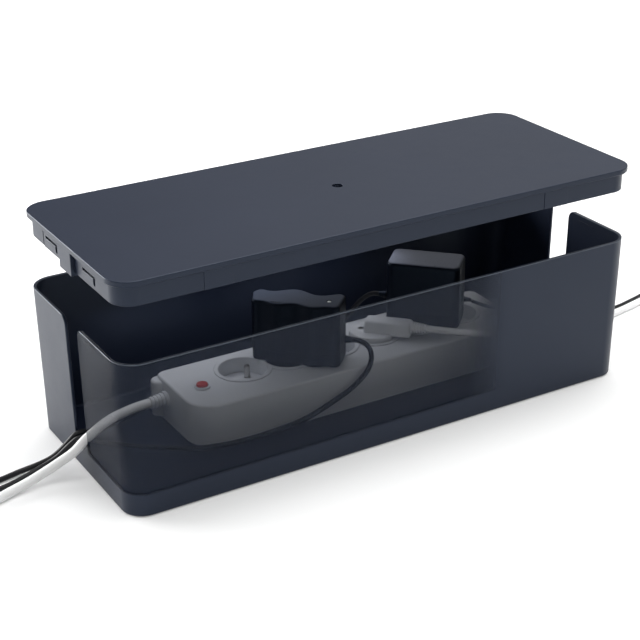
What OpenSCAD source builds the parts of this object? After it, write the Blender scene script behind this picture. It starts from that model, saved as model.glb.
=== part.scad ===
// Cable management box: an open box with a cord slot in each end, a lid that drops into its rim,
// and the power strip, adapters, plug and cords that it hides.
// Millimetres. Z = 0 is the table, the box is centred on X and Y, and the lid is drawn raised.

/* [Box] */
// Length of the box at its rim
box_length = 430; // [350:5:520]
// Depth of the box at its rim
box_depth = 168; // [140:2:220]
// Height of the rim above the table
rim_height = 117; // [100:1:145]
// Thickness of the walls of box and lid
wall = 2.2; // [1.8:0.1:3]
// How far each side leans in between the rim and the bottom
draft = 1.7; // [0.5:0.1:2.5]
// Radius of the four upright corners
corner_radius = 18; // [16:1:30]
// Thickness of the floor
floor_thickness = 3; // [2:0.5:5]
// Gap between the lower edge of the walls and the table
edge_gap = 0.8; // [0.4:0.1:1.5]

/* [Cord slots] */
// Width of the slot in each end
slot_width = 21.5; // [17:0.5:30]
// Height of the bottom of the slots above the table
slot_bottom = 22; // [16:1:40]
// Radius of the lower corners of a slot
slot_radius = 6; // [2:1:8]
// Radius where a slot opens into the rim
mouth_radius = 7; // [3:1:10]

/* [Lid] */
// How far the lid is drawn above its closed place
lid_raise = 54.1; // [0:0.1:90]
// Height of the lid's outer lip
lip_height = 4.2; // [3:0.1:8]
// Height of the lid from its top to the lower edge of its skirt
lid_depth = 18.8; // [15:0.1:30]
// Gap that is left between the closed lip and the rim
seat_gap = 0.2; // [0.1:0.05:0.5]
// Gap between the tips of the catches and the walls
lid_fit = 0.6; // [0.4:0.1:1]
// Thickness of the lid's skirt
skirt_wall = 2; // [1.2:0.1:3]
// How far a pad stands out from the skirt
pad_proud = 0.4; // [0.3:0.1:1.5]
// How far a catch stands out from its pad
catch_proud = 0.3; // [0.2:0.1:1]
// Width of the pads on the long sides
pad_width = 21.5; // [10:0.5:40]
// Distance of those pads from the middle
pad_offset = 140; // [60:5:145]
// Half of the width of the pad at each end
end_pad_half = 46; // [44:1:48]
// Width of a catch
catch_width = 18.3; // [8:0.1:22]
// Distance of the catches from the middle of the end
catch_offset = 32.8; // [28:0.2:34]
// Gap between the tongue and the sides of its slot
tongue_gap = 0.5; // [0.3:0.1:1.5]
// How far the tongue hangs below the skirt
tongue_drop = 1.9; // [0:0.1:5]
// Diameter of the finger hole in the lid
lid_hole = 8; // [5:0.5:25]

/* [Feet] */
// Diameter of a rubber foot
foot_diameter = 18; // [10:1:25]
// Height of the floor's underside, which the feet fill
foot_height = 3; // [2:0.5:6]
// Distance of the feet from the ends and sides
foot_inset = 32; // [25:1:45]

/* [Power strip] */
// Height of the strip's rings above its underside
strip_height = 34; // [34:1:45]
// Depth of the strip
strip_depth = 73; // [64:1:85]
// Wall thickness of the strip
strip_wall = 2.2; // [1.6:0.1:3]
// Thickness of the strip's base
base_thickness = 2; // [1.5:0.1:3]
// Distance between neighbouring sockets
socket_pitch = 38.8; // [38.8:0.1:42]
// Diameter of a socket's well
well_diameter = 37; // [36:0.1:37.2]
// Depth of a socket's well
well_depth = 12.5; // [11:0.1:13]
// Outer diameter of the ring around a well
ring_diameter = 44; // [42:0.5:48]
// Height of the rings above the cover
ring_height = 0.8; // [0.4:0.1:2]
// Diameter of a socket's contact holes
contact_hole = 5.4; // [5.2:0.1:6]
// Diameter of the earth pins
earth_diameter = 4.8; // [4:0.1:5]
// Diameter of the reset button
button_diameter = 8.5; // [7:0.1:9]
// Travel of the reset button
button_travel = 2; // [1:0.1:2.2]
// Gap around the button
button_gap = 0.3; // [0.2:0.05:0.5]

/* [Adapters and plug] */
// Height of the cases of both adapters
case_height = 50; // [40:1:56]
// Width of the upright adapter's case
block_width = 33; // [26:1:36]
// Wall thickness of the adapters' cases
case_wall = 2; // [1.2:0.1:2.5]
// Diameter of the adapters' pins
adapter_pin = 4; // [3.8:0.1:4.2]
// Diameter of the flat plug's pins
plug_pin = 4.8; // [4:0.1:4.8]

/* [Cords] */
// Diameter of the mains cord
mains_diameter = 7; // [6:0.1:7.5]
// Diameter of the two adapter leads
lead_diameter = 4; // [3:0.1:4.5]
// Diameter of the flat plug's cord
appliance_diameter = 5.4; // [5:0.1:6]
// Diameter of the thin lead
thin_diameter = 2.8; // [2:0.1:3]

/* [Hidden] */

$fn = 64;
eps = 0.5;                  // how far a cutter runs past what it cuts
box_colour = [0.12, 0.14, 0.18];
white_colour = [0.9, 0.91, 0.93];
black_colour = [0.1, 0.11, 0.13];
copper_colour = [0.78, 0.6, 0.3];
steel_colour = [0.75, 0.76, 0.78];

floor_top = foot_height + floor_thickness;
wall_height = rim_height - edge_gap;
collar_drop = 3;            // collar under the lid, round its hole
collar_wall = 1.5;
rib_drop = 4.8;             // rim to the top of the snap ribs, which lie just above a closed lid's catches
rib_height = 1.2;
rib_gap = 0.3;              // between a rib and the tip of the catch that passes it
rib_reach = lid_fit - rib_gap;
rib_width = 17.5;

catch_inset = wall + lid_fit;
pad_inset = catch_inset + catch_proud;
skirt_inset = pad_inset + pad_proud;
lid_top = rim_height + seat_gap + lip_height + lid_raise;
lid_bottom = lid_top - lid_depth;
catch_top = 11;             // lid top to the upper edge of a catch
catch_flat = 3;             // upright face of a catch
catch_slope = 1.9;          // lead-in below it

strip_left = -136;
strip_right = 158;
strip_front = -31;
strip_back = strip_front + strip_depth;
strip_front_radius = 22;
strip_back_radius = 7;
strip_bottom = floor_top;
strip_top = strip_bottom + strip_height;        // top of the rings
cover_bottom = strip_bottom + base_thickness;
cover_top = strip_top - ring_height;
cover_plate = 2.4;
well_floor = strip_top - well_depth;
lug_radius = 6.5;
lug_inset = 0.5;            // lug's centre inside the strip's end
lug_drop = 2.5;             // its top below the cover's
well_wall = 1.2;
well_lip = 2;               // height and reach of the lip that an insert rests on
insert_thickness = 3;
insert_gap = 0.3;
insert_bottom = well_floor - insert_thickness;
socket_count = 6;
first_socket = -76.4;
socket_y = 12.5;
socket_turn = -45;
contact_spread = 19;        // between the two contact holes of a socket
earth_offset = 10;
earth_below_top = 2;
fit_gap = 0.1;              // running gap of pins in plain holes
pin_bottom = cover_bottom + 0.7;

bar_thickness = 0.8;
bar_bottom = cover_bottom + 4.5;
bar_height = 7.5;
clip_wall = 1;
clip_bore = plug_pin + 2 * fit_gap;
live_y = -1;
neutral_y = 25.6;
earth_y = 30;
earth_tab_bottom = cover_bottom + 2;
earth_tab_height = 1;

screw_places = [[-127, -12], [-127, 35], [20.6, -22], [20.6, 36], [150, -10], [148, 35]];
boss_diameter = 7;
screw_diameter = 2.6;
screw_head = 5.2;
head_height = 1.2;
screw_length = 12;

button_x = -116;
button_y = 2;
collar_diameter = 12;
collar_tube = 10.6;
collar_top = cover_top + 1.8;
collar_bottom = cover_top - 5.2;
button_top = collar_top + 1.4;
button_edge = 0.6;          // bevel round the button's top
button_flange = 10;
flange_height = 2;
flange_top = collar_bottom - button_gap;
flange_bottom = flange_top - flange_height;
breaker_top = cover_bottom + 16;
spring_turns = 5;
spring_wire = 0.8;
spring_radius = 3.2;
post_diameter = 3;
post_top = flange_bottom - button_travel - button_gap;   // where a fully pressed button stops

gland_y = 22;
gland_z = 26;
gland_tip = -150;
tail_end = -119;
clamp_x = -127.5;

a1_socket = 1;              // sockets are counted from 0
plug_socket = 3;
a2_socket = 4;
a1_bottom = strip_top;
a1_split = a1_bottom + 10;
a1_top = a1_bottom + case_height;
a2_bottom = strip_top + 5;
a2_split = a2_bottom + 10;
a2_top = a2_bottom + case_height + 1.5;
a2_left = -20;
a2_right = 38.5;
a2_radius = 6;
a2_lead_z = 62;
a2_thin_z = 60;
a2_thin_v = 10;
a1_right = 43.5;
a1_lead_z = 55;
a1_lead_v = 9;
stub_length = well_diameter - 3;
stub_width = 13.4;
relief_small = 0.8;         // how much thicker a lead's relief ends than the lead

plug_disc = well_diameter - 0.6;
plug_disc_top = strip_top + 3.5;
plug_top = strip_top + 13;
plug_left = -5.5;
plug_right = 31;
plug_foot = 16;             // width of the body where it meets the disc
plug_ridge = 13;            // and at its top
plug_lead_z = strip_top + 8.5;
plug_relief_end = 44;

// ---------- routes of the free cords, chosen points from the housing outwards ----------
mains_route = [[-150.1, 22, 26], [-155, 22, 26], [-163, 20.8, 26.2], [-173, 17.2, 27], [-185, 11, 28.5],
    [-197, 3, 29.5], [-206, -3, 29], [-214, -6, 26.5], [-222, -6, 20], [-232, -4, 14],
    [-244, -3.5, 9], [-256, -4.5, 5.5],
    [-269, -7, 3.8], [-282, -11.5, 3.6], [-295, -13, 3.6], [-308, -11, 3.6], [-318, -7.5, 3.6]];
lead_1_route = [[3.6, -16, 55], [6.8, -19.2, 55], [10, -23, 53.4], [11.8, -27.4, 50], [10.8, -31.4, 44.8],
    [7, -34.6, 39.2], [1, -36, 33.8], [-9, -36, 26.5], [-19, -36, 22], [-32, -36, 17], [-46, -36, 12.5],
    [-60, -36, 10], [-80, -36, 8.6], [-100, -36, 8.4], [-120, -35, 9], [-136, -31, 9.5], [-150, -25, 11],
    [-166, -17, 12.5], [-181, -10, 14.5], [-195, -5, 18.5], [-206, -2, 23], [-214, 2, 25], [-221, 4, 20.5],
    [-231, 5.5, 12.5], [-243, 8.5, 6], [-258, 6.5, 2.8], [-275, 2.5, 2.1], [-292, 3, 2.1], [-308, 6, 2.1],
    [-324, 11, 2.1], [-339, 13.9, 2.1]];
lead_2_route = [[58.7, 32.6, 62], [55.6, 35.7, 62], [52, 38.9, 60], [47, 42, 55.4], [42, 44.8, 48.4],
    [37, 47.5, 41], [31, 50, 33],
    [23, 52.5, 23], [12, 55, 13], [0, 56, 9], [-14, 56.5, 8.2], [-35, 56.5, 8.2], [-60, 56, 8.2],
    [-85, 56, 8.2], [-110, 54.5, 8.2], [-133, 51, 8.2], [-152, 45, 8.6], [-170, 35, 11], [-186, 24, 15.5],
    [-199, 14, 21], [-207.5, 8.4, 25.6], [-215, 7.4, 25.6], [-223, 9.6, 17.5], [-232, 12.5, 9.5],
    [-243, 15.5, 4.8],
    [-256, 17, 2.4], [-272, 14, 2.1], [-286, 13, 2.1], [-298, 18, 2.1], [-306, 28, 2.1], [-311, 43, 2.1],
    [-312, 60, 2.1], [-312, 73, 2.1], [-312, 86, 2.1]];
appliance_route = [[71.2, -18.7, 48.5], [75, -22.5, 48.5], [81, -28.9, 48.6], [88, -36.5, 48.8],
    [98, -46.5, 49], [109, -55.5, 48.4],
    [121, -62, 46], [134, -64, 41.5], [147, -61, 36], [160, -53, 31], [172, -42, 27.5], [183, -29, 25.5],
    [193, -17, 25], [203, -8.5, 26], [211, -4.5, 27], [218, -3, 25.5], [226, -3, 19.5], [237, -3, 12],
    [250, -2.5, 6], [265, -1, 3.2], [282, 1.5, 2.8], [300, 5, 2.8], [317, 8.5, 2.8], [334, 9.5, 2.8],
    [350, 4, 2.8], [362, -8, 2.8], [367.5, -21, 2.8], [369.3, -31, 2.8]];
thin_route = [[117, -13, 59.5], [122, -15.5, 57], [129, -15.5, 53.4], [138, -13, 49], [150, -12, 44.2],
    [162, -10, 39.5], [174, -6, 34], [186, -1, 29], [198, 3, 26.2], [208, 5, 25], [215, 5.5, 24],
    [222, 6.5, 19.5],
    [230, 7.5, 13.5], [240, 9, 7.5], [251, 10.5, 3.4], [265, 11.5, 1.6], [282, 12, 1.5], [300, 14, 1.5],
    [314, 17, 1.5], [328, 20.5, 1.5], [345, 26, 1.5], [361, 30.6, 1.5], [376, 32, 1.5]];

// centre, middle radius, section width and height of each coil's outer shape
mains_coil_place = [-348.5, -42.5];
mains_coil_ring = [39.5, 14.6, 21.2];
lead_1_coil_place = [-345, 39.5];
lead_1_coil_ring = [23.5, 8.4, 12.4];
lead_2_coil_place = [-288, 92];
lead_2_coil_ring = [22, 8.4, 12.4];
appliance_coil_place = [338.7, -44];
appliance_coil_ring = [28.3, 11.2, 16.8];
thin_coil_place = [385, 15.4];
thin_coil_ring = [15.6, 8.8, 8.8];

// start and heading of the pieces on the cords' far ends
mains_plug_place = [-386.5, -14.5];
mains_plug_turn = 210;
mains_plug_radius = 18.5;
lead_1_end = [-374.8, 41];
lead_1_end_turn = 90;
lead_2_end = [-307.5, 112.5];
lead_2_end_turn = 45;
appliance_end = [338, -80.7];
appliance_end_turn = 180;
thin_end = [406.4, 15];
thin_end_turn = 270;

// ---------- shared shapes ----------

// Rounded outline of the box or lid, inset from the rim's outer edge
module box_outline(inset) {
    length = box_length - 2 * inset;
    depth = box_depth - 2 * inset;
    radius = corner_radius - inset;
    square([length - 2 * radius, depth], center = true);
    square([length, depth - 2 * radius], center = true);
    for (x = [-1, 1], y = [-1, 1])
        translate([x * (length / 2 - radius), y * (depth / 2 - radius)]) circle(radius);
}

// How far a wall stands in from the rim's outer edge at a height
function lean(z) = draft * (rim_height - z) / wall_height;

// Drafted block between two heights, inset by a wall or not at all, with cones for corners
module drafted(inset, low, high) {
    at_low = lean(low) + inset;
    at_high = lean(high) + inset;
    straight_x = box_length / 2 - corner_radius;
    straight_y = box_depth / 2 - corner_radius;
    rotate([90, 0, 0]) linear_extrude(height = 2 * straight_y, center = true)
        drafted_profile(box_length / 2, at_low, at_high, low, high);
    rotate([90, 0, 90]) linear_extrude(height = 2 * straight_x, center = true)
        drafted_profile(box_depth / 2, at_low, at_high, low, high);
    for (x = [-1, 1], y = [-1, 1]) translate([x * straight_x, y * straight_y, low])
        cylinder(h = high - low, r1 = corner_radius - at_low, r2 = corner_radius - at_high);
}

// Upright section of a drafted block
module drafted_profile(half, at_low, at_high, low, high) {
    polygon([[at_low - half, low], [half - at_low, low], [half - at_high, high], [at_high - half, high]]);
}

// Slot shape in the plane of an end wall, with round lower corners and a flared mouth
module slot_outline() {
    half = slot_width / 2;
    translate([-half, slot_bottom + slot_radius]) square([slot_width, rim_height - slot_bottom]);
    translate([-half + slot_radius, slot_bottom]) square([slot_width - 2 * slot_radius, slot_radius + 1]);
    for (side = [-1, 1])
        translate([side * (half - slot_radius), slot_bottom + slot_radius]) circle(slot_radius);
    difference() {
        translate([-half - mouth_radius, rim_height - mouth_radius])
            square([slot_width + 2 * mouth_radius, mouth_radius + 1]);
        for (side = [-1, 1])
            translate([side * (half + mouth_radius), rim_height - mouth_radius]) circle(mouth_radius);
    }
}

// Outline of the strip: wide round corners in front, small ones behind
module strip_outline(inset) {
    left = strip_left + inset;
    right = strip_right - inset;
    front = strip_front + inset;
    back = strip_back - inset;
    big = strip_front_radius - inset;
    small = strip_back_radius - inset;
    translate([left, front + big]) square([right - left, back - front - big - small]);
    translate([left + big, front]) square([right - left - 2 * big, big + 1]);
    translate([left + small, back - small - 1]) square([right - left - 2 * small, small + 1]);
    for (x = [left + big, right - big]) translate([x, front + big]) circle(big);
    for (x = [left + small, right - small]) translate([x, back - small]) circle(small);
}

// Moves its children to a socket and turns them with it
module at_socket(index) {
    translate([first_socket + socket_pitch * index, socket_y, 0]) rotate(socket_turn) children();
}

// Flat pill outline
module pill(length, width) {
    square([length - width, width], center = true);
    for (side = [-1, 1]) translate([side * (length - width) / 2, 0]) circle(width / 2);
}

function spline_point(a, b, c, d, t) = 0.5 * (2 * b + (c - a) * t + (2 * a - 5 * b + 4 * c - d) * t * t
    + (3 * b - a - 3 * c + d) * t * t * t);
function unit(v) = v / norm(v);
// Smooth path through a route, with a number of steps between its points
function smooth_path(route, steps) = let (last = len(route) - 1) concat(
    [for (i = [0:last - 1], s = [0:steps - 1])
        spline_point(route[max(i - 1, 0)], route[i], route[i + 1], route[min(i + 2, last)], s / steps)],
    [route[last]]);
function heading(path, i) = unit(path[min(i + 1, len(path) - 1)] - path[max(i - 1, 0)]);
function ring_at(path, i, radius, sides) = let (
    along = heading(path, i),
    side = unit(cross(along, [0, 0, 1])),
    up = cross(side, along))
    [for (k = [0:sides - 1]) path[i] + radius * (cos(360 * k / sides) * side + sin(360 * k / sides) * up)];

// Round tube along a path, as one closed polyhedron
module tube(path, diameter, sides = 8) {
    rings = len(path);
    points = [for (i = [0:rings - 1]) each ring_at(path, i, diameter / 2, sides)];
    walls = [for (i = [0:rings - 2], k = [0:sides - 1]) let (n = (k + 1) % sides)
        [i * sides + k, i * sides + n, (i + 1) * sides + n, (i + 1) * sides + k]];
    first = [for (k = [0:sides - 1]) sides - 1 - k];
    last = [for (k = [0:sides - 1]) (rings - 1) * sides + k];
    polyhedron(points, concat([first], walls, [last]), convexity = 10);
}

// Outer shape of a round coil that lies on the table
module coil(place, ring) {
    edge = 3;
    translate([place[0], place[1], 0]) rotate_extrude() translate([ring[0] - ring[1] / 2, 0]) {
        translate([edge, 0]) square([ring[1] - 2 * edge, ring[2]]);
        translate([0, edge]) square([ring[1], ring[2] - 2 * edge]);
        for (x = [edge, ring[1] - edge], y = [edge, ring[2] - edge]) translate([x, y]) circle(edge);
    }
}

// Tapered round sleeve along +X with ribs, as a cord's strain relief
module ribbed_sleeve(length, start, finish, ribs) {
    pitch = length / ribs;
    rotate([0, 90, 0]) for (i = [0:ribs - 1]) translate([0, 0, i * pitch]) {
        size = start + (finish - start) * i / (ribs - 1);
        cylinder(h = pitch * 0.6, d = size);
        cylinder(h = pitch, d = size - 1);
    }
}

// ---------- box ----------

module box_body() {
    color(box_colour) {
        difference() {
            drafted(0, edge_gap, rim_height);
            drafted(wall, floor_top, rim_height + eps);
            drafted(wall, edge_gap - eps, foot_height);
            rotate([90, 0, 90]) translate([0, 0, -box_length / 2 - 1])
                linear_extrude(height = box_length + 2) slot_outline();
        }
        for (end = [-1, 1], side = [-1, 1]) snap_rib(end, side);
    }
}

// Low rib inside an end wall, above a catch when the lid is closed
module snap_rib(end, side) {
    high = rim_height - rib_drop;
    outer = box_length / 2 - lean(high) - wall / 2;
    inner = box_length / 2 - lean(high) - wall - rib_reach;
    translate([end > 0 ? inner : -outer, side * catch_offset - rib_width / 2, high - rib_height])
        cube([outer - inner, rib_width, rib_height]);
}

module rubber_feet() {
    color([0.08, 0.08, 0.09])
        for (x = [-1, 1], y = [-1, 1])
            translate([x * (box_length / 2 - foot_inset), y * (box_depth / 2 - foot_inset), 0])
                cylinder(h = foot_height, d = foot_diameter);
}

module lid() {
    color(box_colour) translate([0, 0, lid_bottom]) difference() {
        union() {
            difference() {
                union() {
                    translate([0, 0, lid_depth - lip_height]) linear_extrude(height = lip_height) box_outline(0);
                    linear_extrude(height = lid_depth - lip_height + eps) box_outline(skirt_inset);
                    for (x = [-1, 1], y = [-1, 1]) side_pad(x, y);
                    for (end = [-1, 1]) end_details(end);
                }
                translate([0, 0, -tongue_drop - eps])
                    linear_extrude(height = lid_depth + tongue_drop + eps - wall)
                        box_outline(skirt_inset + skirt_wall);
            }
            translate([0, 0, lid_depth - wall - collar_drop])
                cylinder(h = collar_drop + wall / 2, d = lid_hole + 2 * collar_wall);
        }
        cylinder(h = lid_depth + eps, d = lid_hole);
    }
}

// Raised pad on a long side of the skirt
module side_pad(x, y) {
    outer = box_depth / 2 - pad_inset;
    inner = box_depth / 2 - skirt_inset - skirt_wall / 2;
    translate([x * pad_offset - pad_width / 2, y > 0 ? inner : -outer, 0])
        cube([pad_width, outer - inner, lid_depth - lip_height + eps]);
}

// Pad, tongue and two catches at one end of the skirt
module end_details(end) {
    outer = box_length / 2 - pad_inset;
    inner = box_length / 2 - skirt_inset - skirt_wall / 2;
    under_lip = lid_depth - lip_height + eps;
    tongue_half = slot_width / 2 - tongue_gap;
    tongue_inner = box_length / 2 - skirt_inset - skirt_wall;
    mirror([end > 0 ? 0 : 1, 0, 0]) {
        translate([inner, -end_pad_half, 0]) cube([outer - inner, 2 * end_pad_half, under_lip]);
        translate([tongue_inner, -tongue_half, -tongue_drop])
            cube([box_length / 2 - tongue_inner, 2 * tongue_half, under_lip + tongue_drop]);
        for (side = [-1, 1]) translate([0, side * catch_offset + catch_width / 2, 0]) rotate([90, 0, 0])
            linear_extrude(height = catch_width) polygon([
                [inner, lid_depth - catch_top],
                [outer + catch_proud, lid_depth - catch_top],
                [outer + catch_proud, lid_depth - catch_top - catch_flat],
                [outer, lid_depth - catch_top - catch_flat - catch_slope],
                [inner, lid_depth - catch_top - catch_flat - catch_slope]]);
    }
}

// ---------- power strip ----------

module strip_cover() {
    color(white_colour) difference() {
        union() {
            difference() {
                translate([0, 0, cover_bottom])
                    linear_extrude(height = cover_top - cover_bottom) strip_outline(0);
                translate([0, 0, cover_bottom - eps])
                    linear_extrude(height = cover_top - cover_plate - cover_bottom + eps)
                        strip_outline(strip_wall);
            }
            for (index = [0:socket_count - 1]) at_socket(index) {
                translate([0, 0, insert_bottom - well_lip])
                    cylinder(h = cover_top - insert_bottom + well_lip, d = well_diameter + 2 * well_wall);
                translate([0, 0, cover_top - eps]) cylinder(h = ring_height + eps, d = ring_diameter);
            }
            for (place = screw_places) translate([place[0], place[1], cover_bottom])
                cylinder(h = cover_top - cover_bottom - eps, d = boss_diameter);
            strip_lug();
        }
        for (index = [0:socket_count - 1]) at_socket(index) {
            translate([0, 0, insert_bottom]) cylinder(h = strip_height, d = well_diameter);
            translate([0, 0, insert_bottom - well_lip - eps])
                cylinder(h = 2 * eps + well_lip, d = well_diameter - 2 * well_lip);
            translate([0, 0, strip_top - 0.7]) cylinder(h = 1, d1 = well_diameter, d2 = well_diameter + 2);
        }
        for (place = screw_places) translate([place[0], place[1], cover_bottom - eps])
            cylinder(h = screw_length + eps, d = screw_diameter + fit_gap);
        translate([button_x, button_y, cover_top - cover_plate - eps])
            cylinder(h = strip_height, d = collar_tube + fit_gap);
        translate([strip_left - eps, gland_y, gland_z]) rotate([0, 90, 0])
            cylinder(h = strip_wall + 2 * eps, d = gland_neck() + fit_gap);
    }
}

// Rounded lug outside the back corner at the cord's end
module strip_lug() {
    difference() {
        translate([strip_left + lug_inset, strip_back - lug_radius, cover_bottom])
            cylinder(h = cover_top - lug_drop - cover_bottom, r = lug_radius);
        translate([0, 0, cover_bottom - eps]) linear_extrude(height = strip_height) strip_outline(strip_wall / 2);
    }
}

module strip_base() {
    color(white_colour) difference() {
        union() {
            translate([0, 0, strip_bottom]) linear_extrude(height = base_thickness) strip_outline(0);
            difference() {
                translate([0, 0, cover_bottom - eps])
                    linear_extrude(height = 1.5 + eps) strip_outline(strip_wall + 0.2);
                translate([0, 0, cover_bottom])
                    linear_extrude(height = 2) strip_outline(strip_wall + 1.6);
                for (place = screw_places) translate([place[0], place[1], cover_bottom])
                    cylinder(h = 2, d = boss_diameter + 1);
            }
        }
        for (place = screw_places) translate([place[0], place[1], 0]) {
            cylinder(h = strip_bottom + head_height, d = screw_head + fit_gap);
            cylinder(h = strip_bottom + 2 * base_thickness, d = screw_diameter + 2 * fit_gap);
        }
    }
}

module strip_screws() {
    color(steel_colour) for (place = screw_places) translate([place[0], place[1], strip_bottom]) {
        cylinder(h = head_height, d = screw_head);
        cylinder(h = screw_length, d = screw_diameter);
    }
}

module button_collar() {
    color(white_colour) translate([button_x, button_y, 0]) difference() {
        union() {
            translate([0, 0, cover_top]) cylinder(h = collar_top - cover_top, d = collar_diameter);
            translate([0, 0, collar_bottom]) cylinder(h = collar_top - collar_bottom, d = collar_tube);
        }
        cylinder(h = collar_top + eps, d = button_diameter + 2 * button_gap);
    }
}

module reset_button() {
    color([0.8, 0.22, 0.2]) translate([button_x, button_y, 0]) {
        translate([0, 0, flange_bottom]) cylinder(h = flange_height, d = button_flange);
        translate([0, 0, flange_bottom])
            cylinder(h = button_top - button_edge - flange_bottom, d = button_diameter);
        translate([0, 0, button_top - button_edge])
            cylinder(h = button_edge, d1 = button_diameter, d2 = button_diameter - 2 * button_edge);
    }
}

module button_spring() {
    steps = 12;
    low = breaker_top + spring_wire / 2;
    high = flange_bottom - spring_wire / 2;
    path = [for (i = [0:spring_turns * steps]) let (angle = 360 * i / steps)
        [spring_radius * cos(angle), spring_radius * sin(angle),
         low + (high - low) * i / (spring_turns * steps)]];
    color(steel_colour) translate([button_x, button_y, 0]) tube(path, spring_wire, 6);
}

module breaker() {
    color(black_colour) translate([button_x, button_y, 0]) {
        translate([-9, -7, cover_bottom]) cube([18, 14, breaker_top - cover_bottom]);
        translate([0, 0, breaker_top - eps]) cylinder(h = post_top - breaker_top + eps, d = post_diameter);
    }
}

function gland_neck() = mains_diameter + 3;

module cord_gland() {
    neck = gland_neck();
    color(white_colour) translate([0, gland_y, gland_z]) rotate([0, -90, 0]) difference() {
        union() {
            translate([0, 0, -strip_left - strip_wall - 2]) cylinder(h = 2, d = neck + 3);
            translate([0, 0, -strip_left - strip_wall - 1]) cylinder(h = strip_wall + 2, d = neck);
            translate([0, 0, -strip_left]) cylinder(h = 3, d = neck + 2.4);
            translate([0, 0, -strip_left + 3])
                cylinder(h = -gland_tip + strip_left - 3, d1 = neck + 0.6, d2 = mains_diameter + 2);
        }
        translate([0, 0, -strip_left - 10]) cylinder(h = 40, d = mains_diameter + 2 * fit_gap);
    }
}

module mains_tail() {
    color(white_colour) translate([gland_tip, gland_y, gland_z]) rotate([0, 90, 0])
        cylinder(h = tail_end - gland_tip, d = mains_diameter);
}

// Saddle block under and over the cord's tail
module cord_clamp() {
    color(white_colour) difference() {
        translate([clamp_x - 3, gland_y - 9, cover_bottom]) cube([6, 18, gland_z + 6 - cover_bottom]);
        translate([clamp_x - 4, gland_y, gland_z]) rotate([0, 90, 0])
            cylinder(h = 8, d = mains_diameter + 2 * fit_gap);
        for (side = [-1, 1]) translate([clamp_x, gland_y + side * 6.5, gland_z - 8])
            cylinder(h = 20, d = 2 + fit_gap);
    }
}

module clamp_screws() {
    color(steel_colour) for (side = [-1, 1]) translate([clamp_x, gland_y + side * 6.5, gland_z - 7]) {
        cylinder(h = 13, d = 2);
        translate([0, 0, 13]) cylinder(h = 1.4, d = 3.8);
    }
}

// Live, neutral and earth wires between the cord's tail, the breaker and the bars
module inner_wires() {
    wire = 2;
    start = tail_end + fit_gap;
    live_in = [[start, 20.5, 24.2], [-116.5, 20.5, 24.2], [-113, 19, 23], [-110, 15, 20], [-109.5, 12, 18.2],
        [-109.5, 9.1, 18]];
    live_out = [[-106.9, 0, 18], [-102, 0, 18], [-97, -0.5, 18], [-91, -1, 17.5], [-85, -1, 17]];
    neutral_in = [[start, 23.5, 24.2], [-116.5, 23.5, 24.2], [-113, 25, 23], [-107, 26, 21], [-99, 26, 18.5],
        [-91, 25.6, 17], [-87, 25.6, 17]];
    earth_in = [[start, 22, 28], [-116.5, 22, 28], [-112, 24, 26.5], [-105, 28, 22], [-98, 30, 16],
        [-91, 30, 12.5], [-85, 30, 12.2]];
    color([0.45, 0.25, 0.15]) tube(smooth_path(live_in, 2), wire, 6);
    color([0.45, 0.25, 0.15]) tube(smooth_path(live_out, 2), wire, 6);
    color([0.15, 0.3, 0.7]) tube(smooth_path(neutral_in, 2), wire, 6);
    color([0.3, 0.6, 0.2]) tube(smooth_path(earth_in, 2), wire, 6);
}

// Upright strip with a round clip at one contact of every socket
module contact_bar(bar_y, side) {
    clip_radius = clip_bore / 2 + clip_wall;
    clip = [side * contact_spread / 2 * cos(socket_turn), side * contact_spread / 2 * sin(socket_turn)];
    reach = abs(bar_y - socket_y - clip[1]);
    color(copper_colour) translate([0, 0, bar_bottom]) {
        translate([first_socket - 8.6, bar_y - bar_thickness / 2, 0])
            cube([socket_pitch * (socket_count - 1) + 18, bar_thickness, bar_height]);
        for (index = [0:socket_count - 1])
            translate([first_socket + socket_pitch * index + clip[0], socket_y + clip[1], 0]) difference() {
                union() {
                    cylinder(h = bar_height, r = clip_radius);
                    mirror([0, side > 0 ? 1 : 0, 0]) translate([-1.5, 0, 0]) cube([3, reach, bar_height]);
                }
                translate([0, 0, -eps]) cylinder(h = bar_height + 2 * eps, d = clip_bore);
            }
    }
}

module live_bar() { contact_bar(live_y, 1); }
module neutral_bar() { contact_bar(neutral_y, -1); }

function earth_place(index) = [
    first_socket + socket_pitch * index - earth_offset * sin(socket_turn),
    socket_y + earth_offset * cos(socket_turn)];

module earth_bar() {
    color(copper_colour) difference() {
        union() {
            translate([earth_place(0)[0] - 10, earth_y - bar_thickness / 2, earth_tab_bottom])
                cube([socket_pitch * (socket_count - 1) + 14, bar_thickness, 6]);
            for (index = [0:socket_count - 1])
                translate([earth_place(index)[0] - 3.5, earth_place(index)[1] - 3.5, earth_tab_bottom])
                    cube([7, earth_y - earth_place(index)[1] + 3.5, earth_tab_height]);
        }
        for (index = [0:socket_count - 1])
            translate([earth_place(index)[0], earth_place(index)[1], 0])
                cylinder(h = strip_top, d = 3 + fit_gap);
    }
}

module earth_pins() {
    low = earth_tab_bottom + earth_tab_height;
    high = strip_top - earth_below_top;
    radius = earth_diameter / 2;
    color(steel_colour) for (index = [0:socket_count - 1])
        translate([earth_place(index)[0], earth_place(index)[1], 0]) {
            translate([0, 0, low - 1.6]) cylinder(h = 2, d = 3);
            translate([0, 0, low]) cylinder(h = high - low - radius, r = radius);
            translate([0, 0, high - radius]) sphere(radius);
        }
}

module socket_insert(index) {
    color(white_colour) at_socket(index) translate([0, 0, insert_bottom]) difference() {
        cylinder(h = insert_thickness, d = well_diameter - 2 * insert_gap);
        for (side = [-1, 1]) translate([side * contact_spread / 2, 0, -eps])
            cylinder(h = insert_thickness + 2 * eps, d = contact_hole);
        translate([0, earth_offset, -eps])
            cylinder(h = insert_thickness + 2 * eps, d = earth_diameter + 4 * fit_gap);
    }
}

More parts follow.
